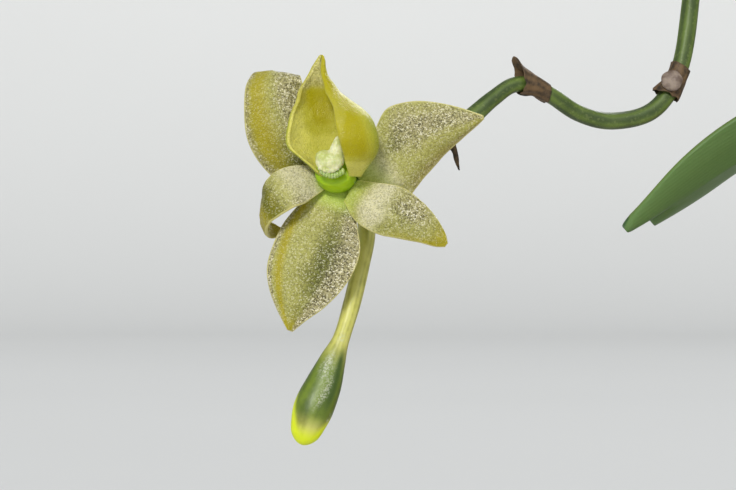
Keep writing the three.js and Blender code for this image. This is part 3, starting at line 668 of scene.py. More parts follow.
# The right edge curls outwards in a pale strip, which widens upwards.
def lip_strip(s, t, side):
    high = lip_height(s)
    start = 0.985 - 0.09 * (high - 2.1)
    return (side > 0) * step_up(t, start - 0.04, start + 0.02) * step_up(-high, -4.9, -4.3)


def lip_wash(s, t, side):
    high = lip_height(s)
    if side > 0:
        band = step_up(t, 0.6, 0.8) * step_up(high, 0.9, 1.6)
        return 0.2 + 0.8 * band - 0.4 * lip_strip(s, t, side) - 1.1 * step_up(-high, -1.5, -0.9)
    crown = bell(high, 4.2, 0.7)
    left = 0.75 * bell(t, -0.5, 0.16) * bell(high, 3.3, 0.6)
    # Painted light: the pale left edge and lower part of the inner face lift the shade of the hood's hollow.
    painted_light_margin = 0.9 * step_up(-t, 0.55, 0.85) * step_up(-high, -4.6, -3.6)
    painted_light_foot = 0.7 * step_up(-high, -3.2, -2)
    return crown + left - painted_light_margin - painted_light_foot - 0.9 * step_up(high, 4.9, 5.3)


LIP_MARKS = {
    "wash": lip_wash,
    "bloom": lambda s, t, side: 0.95 * (side < 0) * step_up(lip_height(s), 4.5, 5.1)
    + 0.35 * step_up(-t, 0.55, 0.8) + 0.2 * lip_strip(s, t, side),
    "shade": lambda s, t, side: (side < 0) * bell(t, 0.05, 0.3) * bell(lip_height(s), 2.6, 0.9),
    "glow": lambda s, t, side: 0.6 * (side > 0) * step_up(-t, -0.74, -0.4)
    * step_up(-lip_height(s), -4.2, -2.8),
    "rim": lambda s, t, side: lip_rim(s, t) + 0.1,
}
piece("lip_hood", [blade(150, 130, lip_place, LIP_MARKS)], LIP_SKIN, "lip", "lip_with_spur")

# %% [markdown]
# ## The spur
# The spur is a nectar tube that grows from the back of the lip, passes behind the ovary and hangs down. It
# ends in a flattened club. Its wall is so thin and wet that long streaks show through it, so its skin is
# smooth and glossy, with streaks that run along it and a neon yellow tip. A lighter side towards the viewer
# and whitish glassy highlights are painted into its colour.

# %% The spur's skin
def spur_skin():
    skin = Finish("glassy spur")
    fine = skin.noise(2600, 3)
    lot = skin.draw(15000)
    # The streak mark also carries a painted lighter side towards the viewer.
    streak_and_lit_centre = skin.mark("across")
    tube = skin.mix(skin.smooth(streak_and_lit_centre + 0.5 * fine, 0.35, 1.0), (148, 147, 52), (204, 201, 110))
    body = skin.mix(skin.smooth(streak_and_lit_centre + 0.4 * fine, 0.3, 1.0), (62, 84, 10), (114, 134, 34))
    colour = skin.mix(skin.mark("glow"), tube, body)
    colour = skin.mix(skin.mark("shade"), colour, (62, 86, 18))
    # Painted highlights: whitish glassy patches, flecked by the cells.
    painted_highlight = skin.smooth(skin.mark("bloom") + 0.5 * (fine - 0.5), 0.1, 0.9)
    colour = skin.mix(painted_highlight * (0.1 + 0.65 * skin.smooth(lot, 0.3, 0.9)), colour, (190, 193, 168))
    colour = skin.mix(skin.mark("wash"), colour, (220, 232, 16))
    normal = skin.bump(fine + lot * 0.4, 0.00003, 0.5)
    return skin.close(colour, 0.5 - 0.16 * fine, normal, (0.5, (0.9, 1.0, 0.3), 0.0007))


SPUR_SKIN = spur_skin()

# %% The spur
SPUR = [
    (-0.55, 0.35, 1.75), (-0.4, 1.9, 2.05), (0.1, 3.3, 1.3), (0.85, 3.6, -0.6), (1.05, 2.9, -2.35),
    (0.78, 2.2, -3.9), (0.38, 1.6, -5.63), (-0.12, 1.1, -7.34), (-0.59, 0.85, -8.56), (-1.05, 0.65, -9.78),
    (-1.57, 0.4, -11), (-2.14, 0.2, -12.72),
]
SPUR_NECK = 0.43
SPUR_SIZE = through([
    (0, 1.3), (0.3, 1.05), (0.6, 1), (0.7, 0.98), (0.76, 1.5), (0.83, 2.06), (0.9, 2.28), (0.95, 1.92),
    (0.98, 1.52), (1, 1.25),
])


def spur_tip(s, turn):
    return step_up(s + 0.055 * cos(turn) ** 4 + 0.03 * bell(turn, 3, 0.5), 0.945, 0.99)


# Painted light: besides the random streaks, the side of the tube towards the viewer is made lighter and the
# back darker.
def spur_streak_and_lit_centre(s, turn):
    return 0.5 + 0.4 * bumps(turn, 8 * s, 3.52) + 0.25 * (0.5 - abs(sin(turn / 2 + 2.4)))


def spur_stripe(s, turn):
    front = bell(turn, 0.95, 0.3) + 0.5 * bell(turn, 4.4, 0.4)
    return front * step_up(s, 0.71, 0.76) * step_up(-s, -0.94, -0.86)


# Painted highlights: whitish glassy patches where light catches the glossy club and neck.
def spur_painted_highlights(s, turn):
    upper = 0.85 * bell(turn, 1.8, 0.5) * bell(s, 0.785, 0.045)
    lower = 0.9 * bell(turn, 1.35 + 3 * (s - 0.85), 0.24) * bell(s, 0.86, 0.05)
    edge = 0.9 * bell(turn, 0.4, 0.2) * bell(s, 0.915, 0.02)
    neck = 0.7 * bell(s, 0.7, 0.015) * bell(turn, 1.6, 0.6)
    return upper + lower + edge + neck + 0.5 * bell(turn, 5.2, 0.3) * bell(s, 0.84, 0.06)


spur = rod(
    Route(from_flower(SPUR)),
    rounded(lambda s: SPUR_NECK * SPUR_SIZE(s), 0, 0.032),
    48, 220, TO_VIEWER,
    lambda s, turn: 0.012 * spur_streak_and_lit_centre(s, turn),
    {
        "wash": spur_tip,
        "glow": lambda s, turn: step_up(s, 0.7, 0.8) * (1 - 0.9 * step_up(s, 0.91, 0.96)),
        "bloom": spur_painted_highlights,
        "shade": spur_stripe,
        "across": spur_streak_and_lit_centre,
    },
    lambda s: 1 - 0.18 * step_up(s, 0.7, 0.78),
)
piece("lip_spur", [spur], SPUR_SKIN, "lip", "lip_with_spur")

# %% [markdown]
# ## The column and its anther cap
# In the middle sits the column, which carries the pollen under a white cap with one pointed horn. The column
# is a short juicy rod of the brightest green. The cap is covered with tiny rounded bumps, so its balls are
# real bumpy meshes: a bump map alone would leave its outline smooth.

# %% Column and cap skins
def plain_skin(name, light, dark, scale, rough, soft, depth):
    skin = Finish(name)
    mottle = skin.noise(scale, 3)
    colour = skin.mix(skin.smooth(mottle, 0.3, 0.7), dark, light)
    normal = skin.bump(skin.noise(scale * 4, 2), depth, 0.5)
    return skin.close(colour, rough + 0.1 * mottle, normal, (soft, (0.8, 1.0, 0.3), 0.0008))


COLUMN_SKIN = plain_skin("juicy column", (182, 216, 6), (146, 186, 2), 900, 0.3, 0.5, 0.00003)
CAP_SKIN = plain_skin("papillose cap", (230, 230, 182), (190, 197, 116), 2200, 0.35, 0.4, 0.00003)
PLATE_SKIN = plain_skin("glassy beads", (186, 208, 134), (146, 182, 56), 1600, 0.2, 0.5, 0.00001)

# %% Column and cap
COLUMN_SIZE = through([(0, 0.9), (0.35, 0.98), (0.75, 0.96), (1, 0.84)])
column = rod(
    Route(from_flower([(-0.36, 0.75, 0.3), (-0.44, 0.1, 0.4), (-0.6, -0.72, 0.66)])),
    rounded(COLUMN_SIZE, 0.12, 0.12),
    64, 48, (0, 0, 1),
    lambda s, turn: 0.03 * bumps(turn, 4.5 * s, 1.5),
    None, lambda s: 0.78,
)
piece("green_column", [column], COLUMN_SKIN, "column", "column")


# Overlapping lumps are cast into one skin while they are still in millimetres, because a fine enough remesh
# isn't offered in metres.
def evaluated(*made):
    seen = made[0].evaluated_get(bpy.context.evaluated_depsgraph_get())
    whole = bmesh.new()
    whole.from_mesh(seen.to_mesh())
    for spare in made:
        bpy.data.objects.remove(spare)
    return whole


def fused(shapes, grain):
    lump = joined("lumps", shapes, Matrix.Translation(-FLOWER_CENTRE))
    cast = lump.modifiers.new("cast", "REMESH")
    cast.mode = "VOXEL"
    cast.voxel_size = grain
    whole = evaluated(lump)
    for _ in range(4):
        bmesh.ops.smooth_vert(
            whole, verts=whole.verts[:], factor=0.5, use_axis_x=True, use_axis_y=True, use_axis_z=True,
        )
    whole.normal_update()
    return whole


def papillae(lump):
    lifts = [(v, v.normal * 0.035 * (0.4 - noise.voronoi(v.co * 9)[0][0])) for v in lump.verts]
    for v, lift in lifts:
        v.co += lift
    bmesh.ops.translate(lump, verts=lump.verts[:], vec=FLOWER_CENTRE)
    mark_layers(lump)
    return lump


LUMP_GRAIN = 0.028
HORN_SIZE = through([(0, 0.4), (0.4, 0.32), (0.8, 0.17), (1, 0.08)])
horn = rod(
    Route(from_flower([(-0.42, -1.4, 1.35), (-0.4, -1.45, 1.85), (-0.34, -1.42, 2.36)])),
    rounded(HORN_SIZE, 0.05, 0.08),
    24, 28, TO_VIEWER, None, None, lambda s: 0.8,
)
CAP_BALLS = [
    ((-0.74, -1.33, 1.14), (0.7, 0.5, 0.54)),
    ((-1.02, -1.4, 1.32), (0.42, 0.4, 0.36)),
    ((-0.36, -1.42, 1.22), (0.36, 0.4, 0.48)),
]


# A row of balls that sags in its middle.
def fringe(start, spread, sag, count, radii):
    for k in range(count):
        drop = Vector((spread * k, 0, -sag * k * (count - 1 - k)))
        yield ball(FLOWER_CENTRE + Vector(start) + drop, radii, 3)


cap_lumps = [ball(FLOWER_CENTRE + Vector(centre), radii, 4) for centre, radii in CAP_BALLS]
cap_lumps += [*fringe((-1.18, -1.5, 0.82), 0.2, 0.035, 5, (0.15, 0.22, 0.17)), horn]
piece("white_anther_cap", [papillae(fused(cap_lumps, LUMP_GRAIN))], CAP_SKIN, "anther", "anther_cap")
beads = [*fringe((-1.14, -1.42, 0.64), 0.13, 0.013, 9, (0.1, 0.17, 0.17))]
piece("glassy_beads", beads, PLATE_SKIN, "anther", "anther_cap")

# %% [markdown]
# ## The ovary and the spike
# Behind the flower its green stalk thickens into a ribbed, slightly twisted ovary. It joins a wiry, zigzag
# axis no thicker than a pencil lead. Dry brown bracts wrap each joint of the axis like a collar of paper, so
# each bract is a thin sheet rolled round the axis, with its tip standing off.

# %% Ovary, spike and bract skins
def stalk_skin(name, light, dark, rough):
    skin = Finish(name)
    ridge = skin.mark("across")
    mottle = skin.noise(900, 3)
    speck = skin.draw(9500)
    colour = skin.mix(skin.smooth(mottle * 0.7 + ridge * 0.35, 0.25, 0.85), dark, light)
    colour = skin.mix(skin.smooth(speck, 0.8, 1.0) * 0.15, colour, (160, 170, 100))
    normal = skin.bump(skin.noise(3800, 3) + 0.5 * speck, 0.00004, 0.6)
    return skin.close(colour, rough - 0.12 * mottle, normal, (0.2, (0.7, 1.0, 0.3), 0.0005))


def papery(name, light, dark, scale):
    skin = Finish(name)
    fibre = skin.noise(scale, 4, 0.65)
    ridge = skin.mark("across")
    colour = skin.mix(skin.smooth(fibre + ridge * 0.12, 0.36, 0.72), dark, light)
    return skin.close(colour, 0.75 - 0.15 * fibre, skin.bump(fibre + 0.3 * ridge, 0.00008, 0.7))


OVARY_SKIN = stalk_skin("ribbed ovary", (134, 172, 70), (84, 126, 38), 0.45)
SPIKE_SKIN = stalk_skin("wiry spike", (98, 118, 46), (56, 74, 24), 0.55)
BRACT_SKIN = papery("papery bract", (104, 80, 50), (44, 34, 18), 1900)

# %% The ovary
OVARY_SIZE = through([(0, 0.5), (0.3, 0.56), (0.68, 0.72), (0.88, 0.8), (1, 0.72)])


def rib(s, turn):
    return cos(6 * turn + 2.5 * s)


# The stalk starts inside the end of the spike and ends inside the flower, so they are one growth.
OVARY = [
    (4.95, 4.45, 2.7), (4.25, 4, 2.35), (3.2, 3.3, 2.15), (1.9, 2.6, 1.75), (0.75, 2.15, 1),
    (0.1, 1.75, 0.45), (-0.25, 1.05, 0.3),
]
ovary = rod(
    Route(from_flower(OVARY)),
    rounded(OVARY_SIZE, 0.04, 0.06),
    60, 90, None,
    lambda s, turn: 0.05 * rib(s, turn) * step_up(s, 0.15, 0.5),
    {"across": lambda s, turn: 0.5 + 0.5 * rib(s, turn)},
)
piece("ribbed_ovary", [ovary], OVARY_SKIN, "spike", "stalk_with_ovary")

# %% The axis of the spike
SPIKE_ARCH = [
    (-2.2, -1.8, 57), (-4.2, -5.4, 61.5), (-9, -8.6, 69), (-19, -12, 84), (-31, -14.6, 96), (-43, -17, 101.6),
    (-52, -19, 99.4),
]
SPIKE_HANGING = [
    (17.9, 10.4, 15.6), (17.7, 10, 9.6), (16.9, 9, 5.6), (15.6, 8.5, 3.9), (13.5, 8, 3.35), (11.8, 7.4, 3.75),
    (10.4, 6.7, 4.6), (9.3, 6.3, 5.15), (8.4, 5.9, 5.1), (7.4, 5.5, 4.4), (6.1, 5, 3.3), (4.6, 4.3, 2.5),
]
SPIKE_RADIUS = through([(0, 0.575), (0.5, 0.5), (0.8, 0.45), (0.92, 0.425), (0.96, 0.39), (1, 0.56)])
spike_route = Route(SPIKE_ARCH + from_flower(SPIKE_HANGING))
spike = rod(
    spike_route,
    rounded(SPIKE_RADIUS, 0.004, 0.004),
    28, 520, None,
    lambda s, turn: 0.012 * cos(5 * turn) + 0.035 * bumps(turn, 45 * s),
    {"across": lambda s, turn: 0.5 + 0.5 * cos(5 * turn)},
)
piece("spike_axis", [spike], SPIKE_SKIN, "spike", "flower_spike")

# %% Bracts, the withered tip and the scar
BRACTS = [
    (0.13, 3.4, (-0.8, -0.6, 1.4)), (0.36, 3.2, (-1.2, -0.5, 1.2)), (0.6, 3, (-1.6, -0.5, 0)),
    (0.863, 2.1, (-0.4, -0.2, -0.2)), (0.946, 1.9, (-0.85, -0.25, 1.1)),
]


def bract(at, length, tip):
    centre = spike_route.at(at)
    along = spike_route.heading(at)
    lean = Vector(tip)
    lean = (lean - along * lean.dot(along)).normalized()
    aside = along.cross(lean)
    reach = Vector(tip).length

    def place(s, t, side):
        turn = pi * t * 1.04
        front = ((1 + cos(turn)) / 2) ** 3
        ragged = 0.07 * bumps(turn, 0, 2.5, centre)
        up = -0.6 * length + s * ((0.8 + ragged) * length + 0.4 * reach * front)
        radius = SPIKE_RADIUS(at) + 0.045 * side * (1 - 0.6 * s) + 0.12 * s * s + 0.07
        wrinkle = 0.07 * bumps(turn, 3 * s, 2.2, centre)
        around = lean * cos(turn) + aside * sin(turn)
        drift = lean * 0.5 * reach * front * s**2.5
        base = spike_route.at(at + up / spike_route.length)
        base = base if s < 0.5 else base.lerp(centre + along * up, 2 * s - 1)
        return base + around * (radius + wrinkle) + drift

    marks = {"across": lambda s, t, side: 0.5 + 0.5 * sin(30 * t + 2 * s)}
    return blade(48, 26, place, marks)


withered = rod(
    Route(from_flower([(5, 4.5, 2.9), (5.4, 4.8, 1.9), (5.7, 4.8, 0.8)])),
    rounded(lambda s: 0.24 - 0.14 * s, 0.1, 0.3),
    20, 30, None,
    lambda s, turn: 0.06 * bumps(turn, 6 * s, 2),
    None, lambda s: (0.2 - 0.14 * s) / (0.24 - 0.14 * s),
)
piece("spike_bracts", [bract(*form) for form in BRACTS] + [withered], BRACT_SKIN, "sheath", "flower_spike")

SCAR_SKIN = plain_skin("fallen flower scar", (146, 130, 116), (96, 78, 66), 2600, 0.6, 0.1, 0.00004)
scar = rod(
    Route(from_flower([(16.7, 9, 5.3), (16.55, 7.85, 5.45)])),
    rounded(lambda s: 0.42 + 0.14 * s, 0.1, 0.2),
    40, 30, None,
    lambda s, turn: 0.04 * bumps(turn, 3 * s, 2),
)
piece("flower_scar", [scar], SCAR_SKIN, "spike", "flower_spike")

# %% [markdown]
# ## Leaves
# Nine strap leaves stand in a flat fan. Each is folded along its midrib near the base and opens towards its
# tip, which has one lobe longer than the other. The upper side is glossy with fine veins, and the underside
# is paler, with a raised keel. One rule places every leaf, and a table gives each its own height, heading,
# pitch, droop, length, swing and twist.

# %% Leaf skins
def leaf_skin(name, top, deep, under):
    skin = Finish(name)
    side = skin.smooth(skin.mark("side"), -0.2, 0.2)
    across = skin.mark("across")
    edge = skin.mark("rim")
    age = skin.mark("wash")
    slow = skin.noise(160, 3)
    fine = skin.noise(2400, 3)
    vein = (across * 30 + 0.5 * slow).sine()
    colour = skin.mix(skin.smooth(slow + 0.04 * vein + 0.2 * fine, 0.35, 0.85), deep, top)
    colour = skin.mix(skin.smooth(edge, 0.16, 0.02) * 0.6, colour, (120, 140, 66))
    middle = skin.smooth(across * across, 0.03, 0.0)
    colour = skin.mix(middle * 0.45, colour, (124, 152, 74))
    colour = skin.mix(1 - side, colour, under)
    colour = skin.mix(skin.smooth(age + 0.5 * (slow - 0.5), 0.55, 1.0), colour, (150, 140, 60))
    normal = skin.bump(vein * 0.15 + fine * 0.6 - middle, 0.00004, 0.5)
    return skin.close(colour, 0.44 - 0.12 * side + 0.12 * fine, normal, (0.08, (0.4, 1.0, 0.2), 0.001))


LEAF_SKIN = leaf_skin("glossy leaf", (72, 112, 44), (40, 74, 28), (92, 122, 62))

# %% Stem and leaf places
STEM_BASE = Vector((0, 0, 42))
STEM_TIP = Vector((1.5, 0.5, 86))
SHEATH_REACH = 3.4
SHEATH_RISE = 6
LEAVES = [
    (50, 8, 24, 62, 56, 14, 10), (53, 176, 22, 60, 54, -18, -14), (57, -12, 34, 74, 70, -10, -12),
    (60, 172, 50, 92, 62, 3, 30), (64, 6, 50, 86, 80, 10, 16), (67, 168, 62, 58, 70, -26, -20),
    (71, -6, 64, 70, 78, -18, -18), (75, 186, 74, 40, 62, -30, 20), (79, 10, 79, 34, 50, 20, 14),
]


def outward(heading):
    return Vector((cos(radians(heading)), sin(radians(heading)), 0))


def pitched(heading, pitch):
    return outward(heading) * cos(radians(pitch)) + Vector((0, 0, sin(radians(pitch))))


def stem_at(z):
    return STEM_BASE.lerp(STEM_TIP, (z - STEM_BASE.z) / (STEM_TIP.z - STEM_BASE.z))


def articulation(node, heading):
    return stem_at(node) + outward(heading) * SHEATH_REACH + Vector((0, 0, SHEATH_RISE))


print("leaves:", len(LEAVES))


# %% One leaf
LEAF_WIDTH = 6.6
LEAF_THICKNESS = 0.8
LEAF_RIM = 0.22
KEEL_DEPTH, GROOVE_DEPTH = 0.28, 0.12
LEAF_HALF = through([(0, 0.36), (0.08, 0.39), (0.25, 0.47), (0.5, 0.5), (0.8, 0.46), (0.93, 0.37), (1, 0.2)])
LEAF_FOLD = through([(0, 58), (0.12, 44), (0.35, 24), (0.7, 16), (1, 8)])
LONG_LOBE, SHORT_LOBE, NOTCH, LOBE_MIDDLE = 1.6, 0.2, 0.9, 0.55


def leaf(number, node, heading, pitch, droop, length, swing, twist):
    def direction(s):
        return pitched(heading + swing * s, pitch - droop * s**1.35)

    steps = 48
    spot = articulation(node, heading) + direction(0) * 0.1
    points = [spot.copy()]
    for k in range(steps):
        spot += direction((k + 0.5) / steps) * (length / steps)
        if k % 6 == 5:
            points.append(spot.copy())
    spine = Route(points)

    @cache
    def row(s):
        ahead = direction(s)
        flat = outward(heading + swing * s)
        wide = Matrix.Rotation(radians(twist * s), 3, ahead) @ Vector((-flat.y, flat.x, 0))
        fold = radians(LEAF_FOLD(s))
        return spine.at(s), ahead, wide, ahead.cross(wide), fold, LEAF_HALF(s) * LEAF_WIDTH

    def place(s, t, side):
        centre, ahead, wide, up, fold, half = row(s)
        reach = NOTCH + (LONG_LOBE if t > 0 else SHORT_LOBE)
        inner = max(1 - abs(t) / LOBE_MIDDLE, 0)
        outer = max(abs(t) - LOBE_MIDDLE, 0) / (1 - LOBE_MIDDLE)
        lobe = -NOTCH + reach * (1 - inner**2 - 0.35 * outer**2)
        lean = tanh(t * 9)
        flank = up * cos(fold) - wide * lean * sin(fold)
        rim = min(half * (1 - abs(t)), length * (1 - s) + 0.4)
        thick = LEAF_RIM + (LEAF_THICKNESS - LEAF_RIM) * sqrt(step_up(rim, -0.05, 1.4))
        keel = KEEL_DEPTH * bell(t, 0, 0.09) * step_up(1 - s, 0.02, 0.3)
        fold_line = keel if side < 0 else -GROOVE_DEPTH * bell(t, 0, 0.05)
        wave = 0.22 * noise.noise(Vector((s * length * 0.12, t * 0.8, 3.7 * number)))
        vein = 0.002 * cos(t * half * 15)
        spread = half * (abs(t) ** 2 + 0.0025) ** 0.5
        return (
            centre
            + wide * half * t * cos(fold)
            + up * (spread * sin(fold) + wave)
            + ahead * lobe * step_up(s, 0.8, 1)
            + flank * side * (thick / 2 + fold_line + vein)
        )

    marks = {
        "wash": lambda s, t, side: 0.75 * step_up(s, 0.93, 1) * (1 if number < 4 else 0.5),
        "rim": lambda s, t, side: row(s)[5] * (1 - abs(t)),
        "across": lambda s, t, side: row(s)[5] * t,
        "side": lambda s, t, side: side,
    }
    return blade(36, 110, place, marks)


for number, form in enumerate(LEAVES, 1):
    piece(f"strap_leaf_{number}", [leaf(number, *form)], LEAF_SKIN, "leaf", f"leaf_{number}")

# %% [markdown]
# ## The stem in its sheaths
# The stem itself hardly shows, because the folded foot of every leaf wraps it. Those sheaths overlap in two
# rows. Young ones are green and ribbed, and the lowest have dried to tan paper. Each is a flattened rod with
# fine ribs along it.

# %% Sheath skin and sheaths
def sheath_skin():
    skin = Finish("ribbed sheath")
    ridge = skin.mark("across")
    dry = skin.mark("wash")
    fibre = skin.noise(1500, 4, 0.6)
    slow = skin.noise(260, 2)
    green = skin.mix(skin.smooth(slow + 0.3 * ridge, 0.3, 0.8), (92, 122, 52), (144, 168, 88))
    tan = skin.mix(skin.smooth(fibre + 0.3 * ridge, 0.4, 0.85), (112, 84, 52), (190, 164, 120))
    colour = skin.mix(skin.smooth(dry + 0.5 * (slow - 0.5), 0.35, 0.65), green, tan)
    return skin.close(colour, 0.5 + 0.25 * dry, skin.bump(ridge * 0.8 + fibre * 0.4, 0.0001, 0.6))


SHEATH_SKIN = sheath_skin()
SHEATH_ACROSS = through([(0, 2), (0.4, 2.5), (0.8, 2.4), (1, 2.1)])
SHEATH_DEPTH = through([(0, 1.9), (0.4, 1.9), (0.8, 1.4), (1, 0.95)])


def sheath_rib(s, turn):
    return 0.5 + 0.5 * cos(26 * turn)


def sheath(node, heading, pitch, dryness):
    out = outward(heading)
    joint = articulation(node, heading)
    ahead = pitched(heading, pitch)
    route = Route([stem_at(node - 6), stem_at(node) + out * SHEATH_REACH * 0.35, joint - ahead * 2.2, joint])
    facing = out.cross(Vector((0, 0, 1))).cross(ahead)
    return rod(
        route,
        rounded(SHEATH_ACROSS, 0.03, 0.05),
        104, 50, facing,
        lambda s, turn: 0.035 * sheath_rib(s, turn),
        {"across": sheath_rib, "wash": lambda s, turn: dryness * (1 - 0.4 * s)},
        lambda s: SHEATH_DEPTH(s) / SHEATH_ACROSS(s),
    )


def old(node):
    return 1 - step_up(node, 50, 66)


core = rod(
    Route([STEM_BASE, stem_at(60), stem_at(78), STEM_TIP]),
    lambda s: 1.9 * (1 - 0.5 * step_up(s, 0.8, 1)),
    32, 40, None, None, {"wash": lambda s, turn: 1 - s},
)
sheaths = [sheath(node, heading, pitch, old(node)) for node, heading, pitch, *_ in LEAVES]
piece("stem_sheaths", [core] + sheaths, SHEATH_SKIN, "sheath", "stem_with_sheaths")

# %% [markdown]
# ## Roots
# The roots of a tree-dwelling orchid wear a spongy silver coat, and only a growing tip is green. Most dive
# into the bark, one crosses the rim of the pot and one young tip lifts off. They are rods on the solids' own
# lines, with slow swellings, because a root thickens and thins as it grips.

# %% Root skin and roots
def root_skin():
    skin = Finish("spongy root")
    young = skin.mark("wash")
    slow = skin.noise(330, 3)
    fine = skin.noise(2600, 4, 0.65)
    colour = skin.mix(skin.smooth(slow * 0.6 + fine * 0.5, 0.35, 0.75), (132, 136, 112), (206, 208, 190))
    colour = skin.mix(skin.smooth(slow, 0.58, 0.75) * 0.5, colour, (128, 132, 84))
    colour = skin.mix(young, colour, (122, 156, 58))
    return skin.close(colour, 0.82 - 0.45 * young, skin.bump(fine + 0.4 * slow, 0.0001, 0.5))


ROOT_SKIN = root_skin()
ROOTS = [
    (1, [
        (1.5, -1.2, 52.5), (6, -6, 54.8), (13, -13, 57), (20, -19.5, 60.2), (23.6, -23, 60.7),
        (25.9, -25.2, 57.5), (25.3, -24.8, 50), (23.6, -22.8, 40), (22.4, -20.6, 30),
    ]),
    (0.95, [
        (-1.2, 1.4, 52), (-5, 6, 54.6), (-10, 12, 54.8), (-14.4, 17.2, 53), (-15.2, 18, 49), (-15, 17.8, 43),
    ]),
    (1.05, [(-1.5, -1.2, 50.5), (-6, -5, 53.6), (-12, -9, 53.4), (-16, -11.5, 50), (-17, -12, 43)]),
    (0.9, [(1.4, 1.2, 51), (6, 4.5, 54), (12, 7.5, 54), (17, 9, 50.5), (18, 9.5, 44)]),
    (1, [(0.3, -1.6, 50.5), (1, -7, 53.8), (3, -13, 53), (4, -16.5, 48.5), (4.2, -17, 42)]),
    (0.85, [(0.6, 1.6, 57), (1.2, 7, 58), (2.4, 13, 57.4), (5, 17.5, 58), (8.6, 20.6, 60.4)]),
]
ROOT_TAPER = through([(0, 0.9), (0.1, 1), (0.9, 0.95), (1, 0.6)])
GREEN_TIPS = (1, 6)


def root(number, radius, points):
    route = Route(points)
    size = rounded(lambda s: radius * ROOT_TAPER(s), 0.6 / route.length, 1.4 / route.length)

    def swelling(s, turn):
        along = s * route.length * 0.35 + 9 * number
        return 0.09 * bumps(turn, along) + 0.03 * bumps(turn, 4 * along, 4)

    young = {"wash": lambda s, turn: step_up(s, 1 - 5 / route.length, 1 - 2 / route.length)}
    return rod(route, size, 28, 130, None, swelling, young if number in GREEN_TIPS else None)


for number, (radius, points) in enumerate(ROOTS, 1):
    piece(f"grey_root_{number}", [root(number, radius, points)], ROOT_SKIN, "root", f"root_{number}")

# %% [markdown]
# ## The clay pot
# The pot was turned on a wheel, so a profile of a few corners is spun round the upright axis. Three drain
# holes are cut through its floor, and a bevel softens its edges. Fired clay is matt, and lime creeps out of
# it where water dries, near the foot and under the rim.

# %% The clay
def clay_skin():
    skin = Finish("fired clay")
    ring = skin.noise(260, 3, 0.5, skin.stretched(0.06, 0.06, 4))
    slow = skin.noise(45, 4, 0.6)
    grit = skin.noise(2600, 4, 0.7)
    fleck = skin.draw(900)
    colour = skin.mix(skin.smooth(slow + 0.3 * ring, 0.4, 0.85), (150, 82, 52), (196, 120, 80))
    colour = skin.mix(skin.smooth(grit + 0.2 * ring, 0.6, 0.85) * 0.5, colour, (214, 156, 116))
    colour = skin.mix(skin.smooth(fleck, 0.95, 1) * 0.5, colour, (96, 60, 44))
    lime = skin.mark("bloom") * skin.smooth(slow + 0.4 * grit, 0.55, 0.95)
    colour = skin.mix(lime, colour, (222, 208, 190))
    return skin.close(colour, 0.86 - 0.1 * grit, skin.bump(grit * 0.5 + ring, 0.00018, 0.5))


CLAY_SKIN = clay_skin()

# %% Turn the pot
POT_HEIGHT, POT_FOOT, POT_RIM, RIM_HEIGHT = 58, 22, 33, 14
POT_WALL, POT_FLOOR, BAND_STEP = 4, 5, 2.2
BAND_FOOT = POT_HEIGHT - RIM_HEIGHT
DRAIN_TURNS, DRAIN_CIRCLE, DRAIN_RADIUS = (90, 210, 330), 12, 3.5
POT_STEPS = 144


def inner_radius(z):
    low = POT_FOOT - 2.6
    return low + (POT_RIM - POT_WALL - low) * (z - POT_FLOOR) / (POT_HEIGHT - POT_FLOOR)


# A profile lists distances from the axis and heights. Long edges can be cut up, so that noise can bend them.
LONG_EDGE = 6


def turned(profile, steps, weld, cuts=0, first=0):
    shape = bmesh.new()
    corners = [shape.verts.new((r, 0, z)) for r, z in profile]
    edges = [shape.edges.new(pair) for pair in zip(corners, corners[1:])]
    if cuts:
        long_edges = [e for e in edges[first:] if e.calc_length() > LONG_EDGE]
        bmesh.ops.subdivide_edges(shape, edges=long_edges, cuts=cuts)
    bmesh.ops.spin(
        shape, geom=shape.verts[:] + shape.edges[:], cent=(0, 0, 0), axis=(0, 0, 1),
        angle=2 * pi, steps=steps, use_merge=True,
    )
    bmesh.ops.remove_doubles(shape, verts=shape.verts[:], dist=weld)
    bmesh.ops.recalc_face_normals(shape, faces=shape.faces[:])
    return shape


def pot_shape():
    neck = POT_FOOT + (POT_RIM - BAND_STEP - POT_FOOT) * BAND_FOOT / POT_HEIGHT
    inside = POT_RIM - POT_WALL
    return turned([
        (0, 0), (POT_FOOT - 1, 0), (POT_FOOT, 1), (neck, BAND_FOOT), (POT_RIM - 1.6, BAND_FOOT + 0.8),
        (POT_RIM - 0.9, BAND_FOOT + 2), (POT_RIM, POT_HEIGHT - 1.6), (POT_RIM - 0.5, POT_HEIGHT - 0.4),
        (POT_RIM - 1.6, POT_HEIGHT), (inside + 1, POT_HEIGHT), (inside, POT_HEIGHT - 1),
        (inner_radius(BAND_FOOT), BAND_FOOT), (inner_radius(POT_FLOOR), POT_FLOOR), (0, POT_FLOOR),
    ], POT_STEPS, 1e-4, 23)


def cut_drains(pot):
    uncut = joined("uncut", [pot])
    drills = []
    for turn in DRAIN_TURNS:
        drill = bmesh.new()
        placed = Matrix.Translation(outward(turn) * DRAIN_CIRCLE + Vector((0, 0, POT_FLOOR / 2)))
        bmesh.ops.create_cone(
            drill, cap_ends=True, segments=40, radius1=DRAIN_RADIUS, radius2=DRAIN_RADIUS, depth=12,
            matrix=placed,
        )
        drills.append(joined("drill", [drill]))
        cut = uncut.modifiers.new("drain", "BOOLEAN")
        cut.object = drills[-1]
        cut.operation = "DIFFERENCE"
    return evaluated(uncut, *drills)


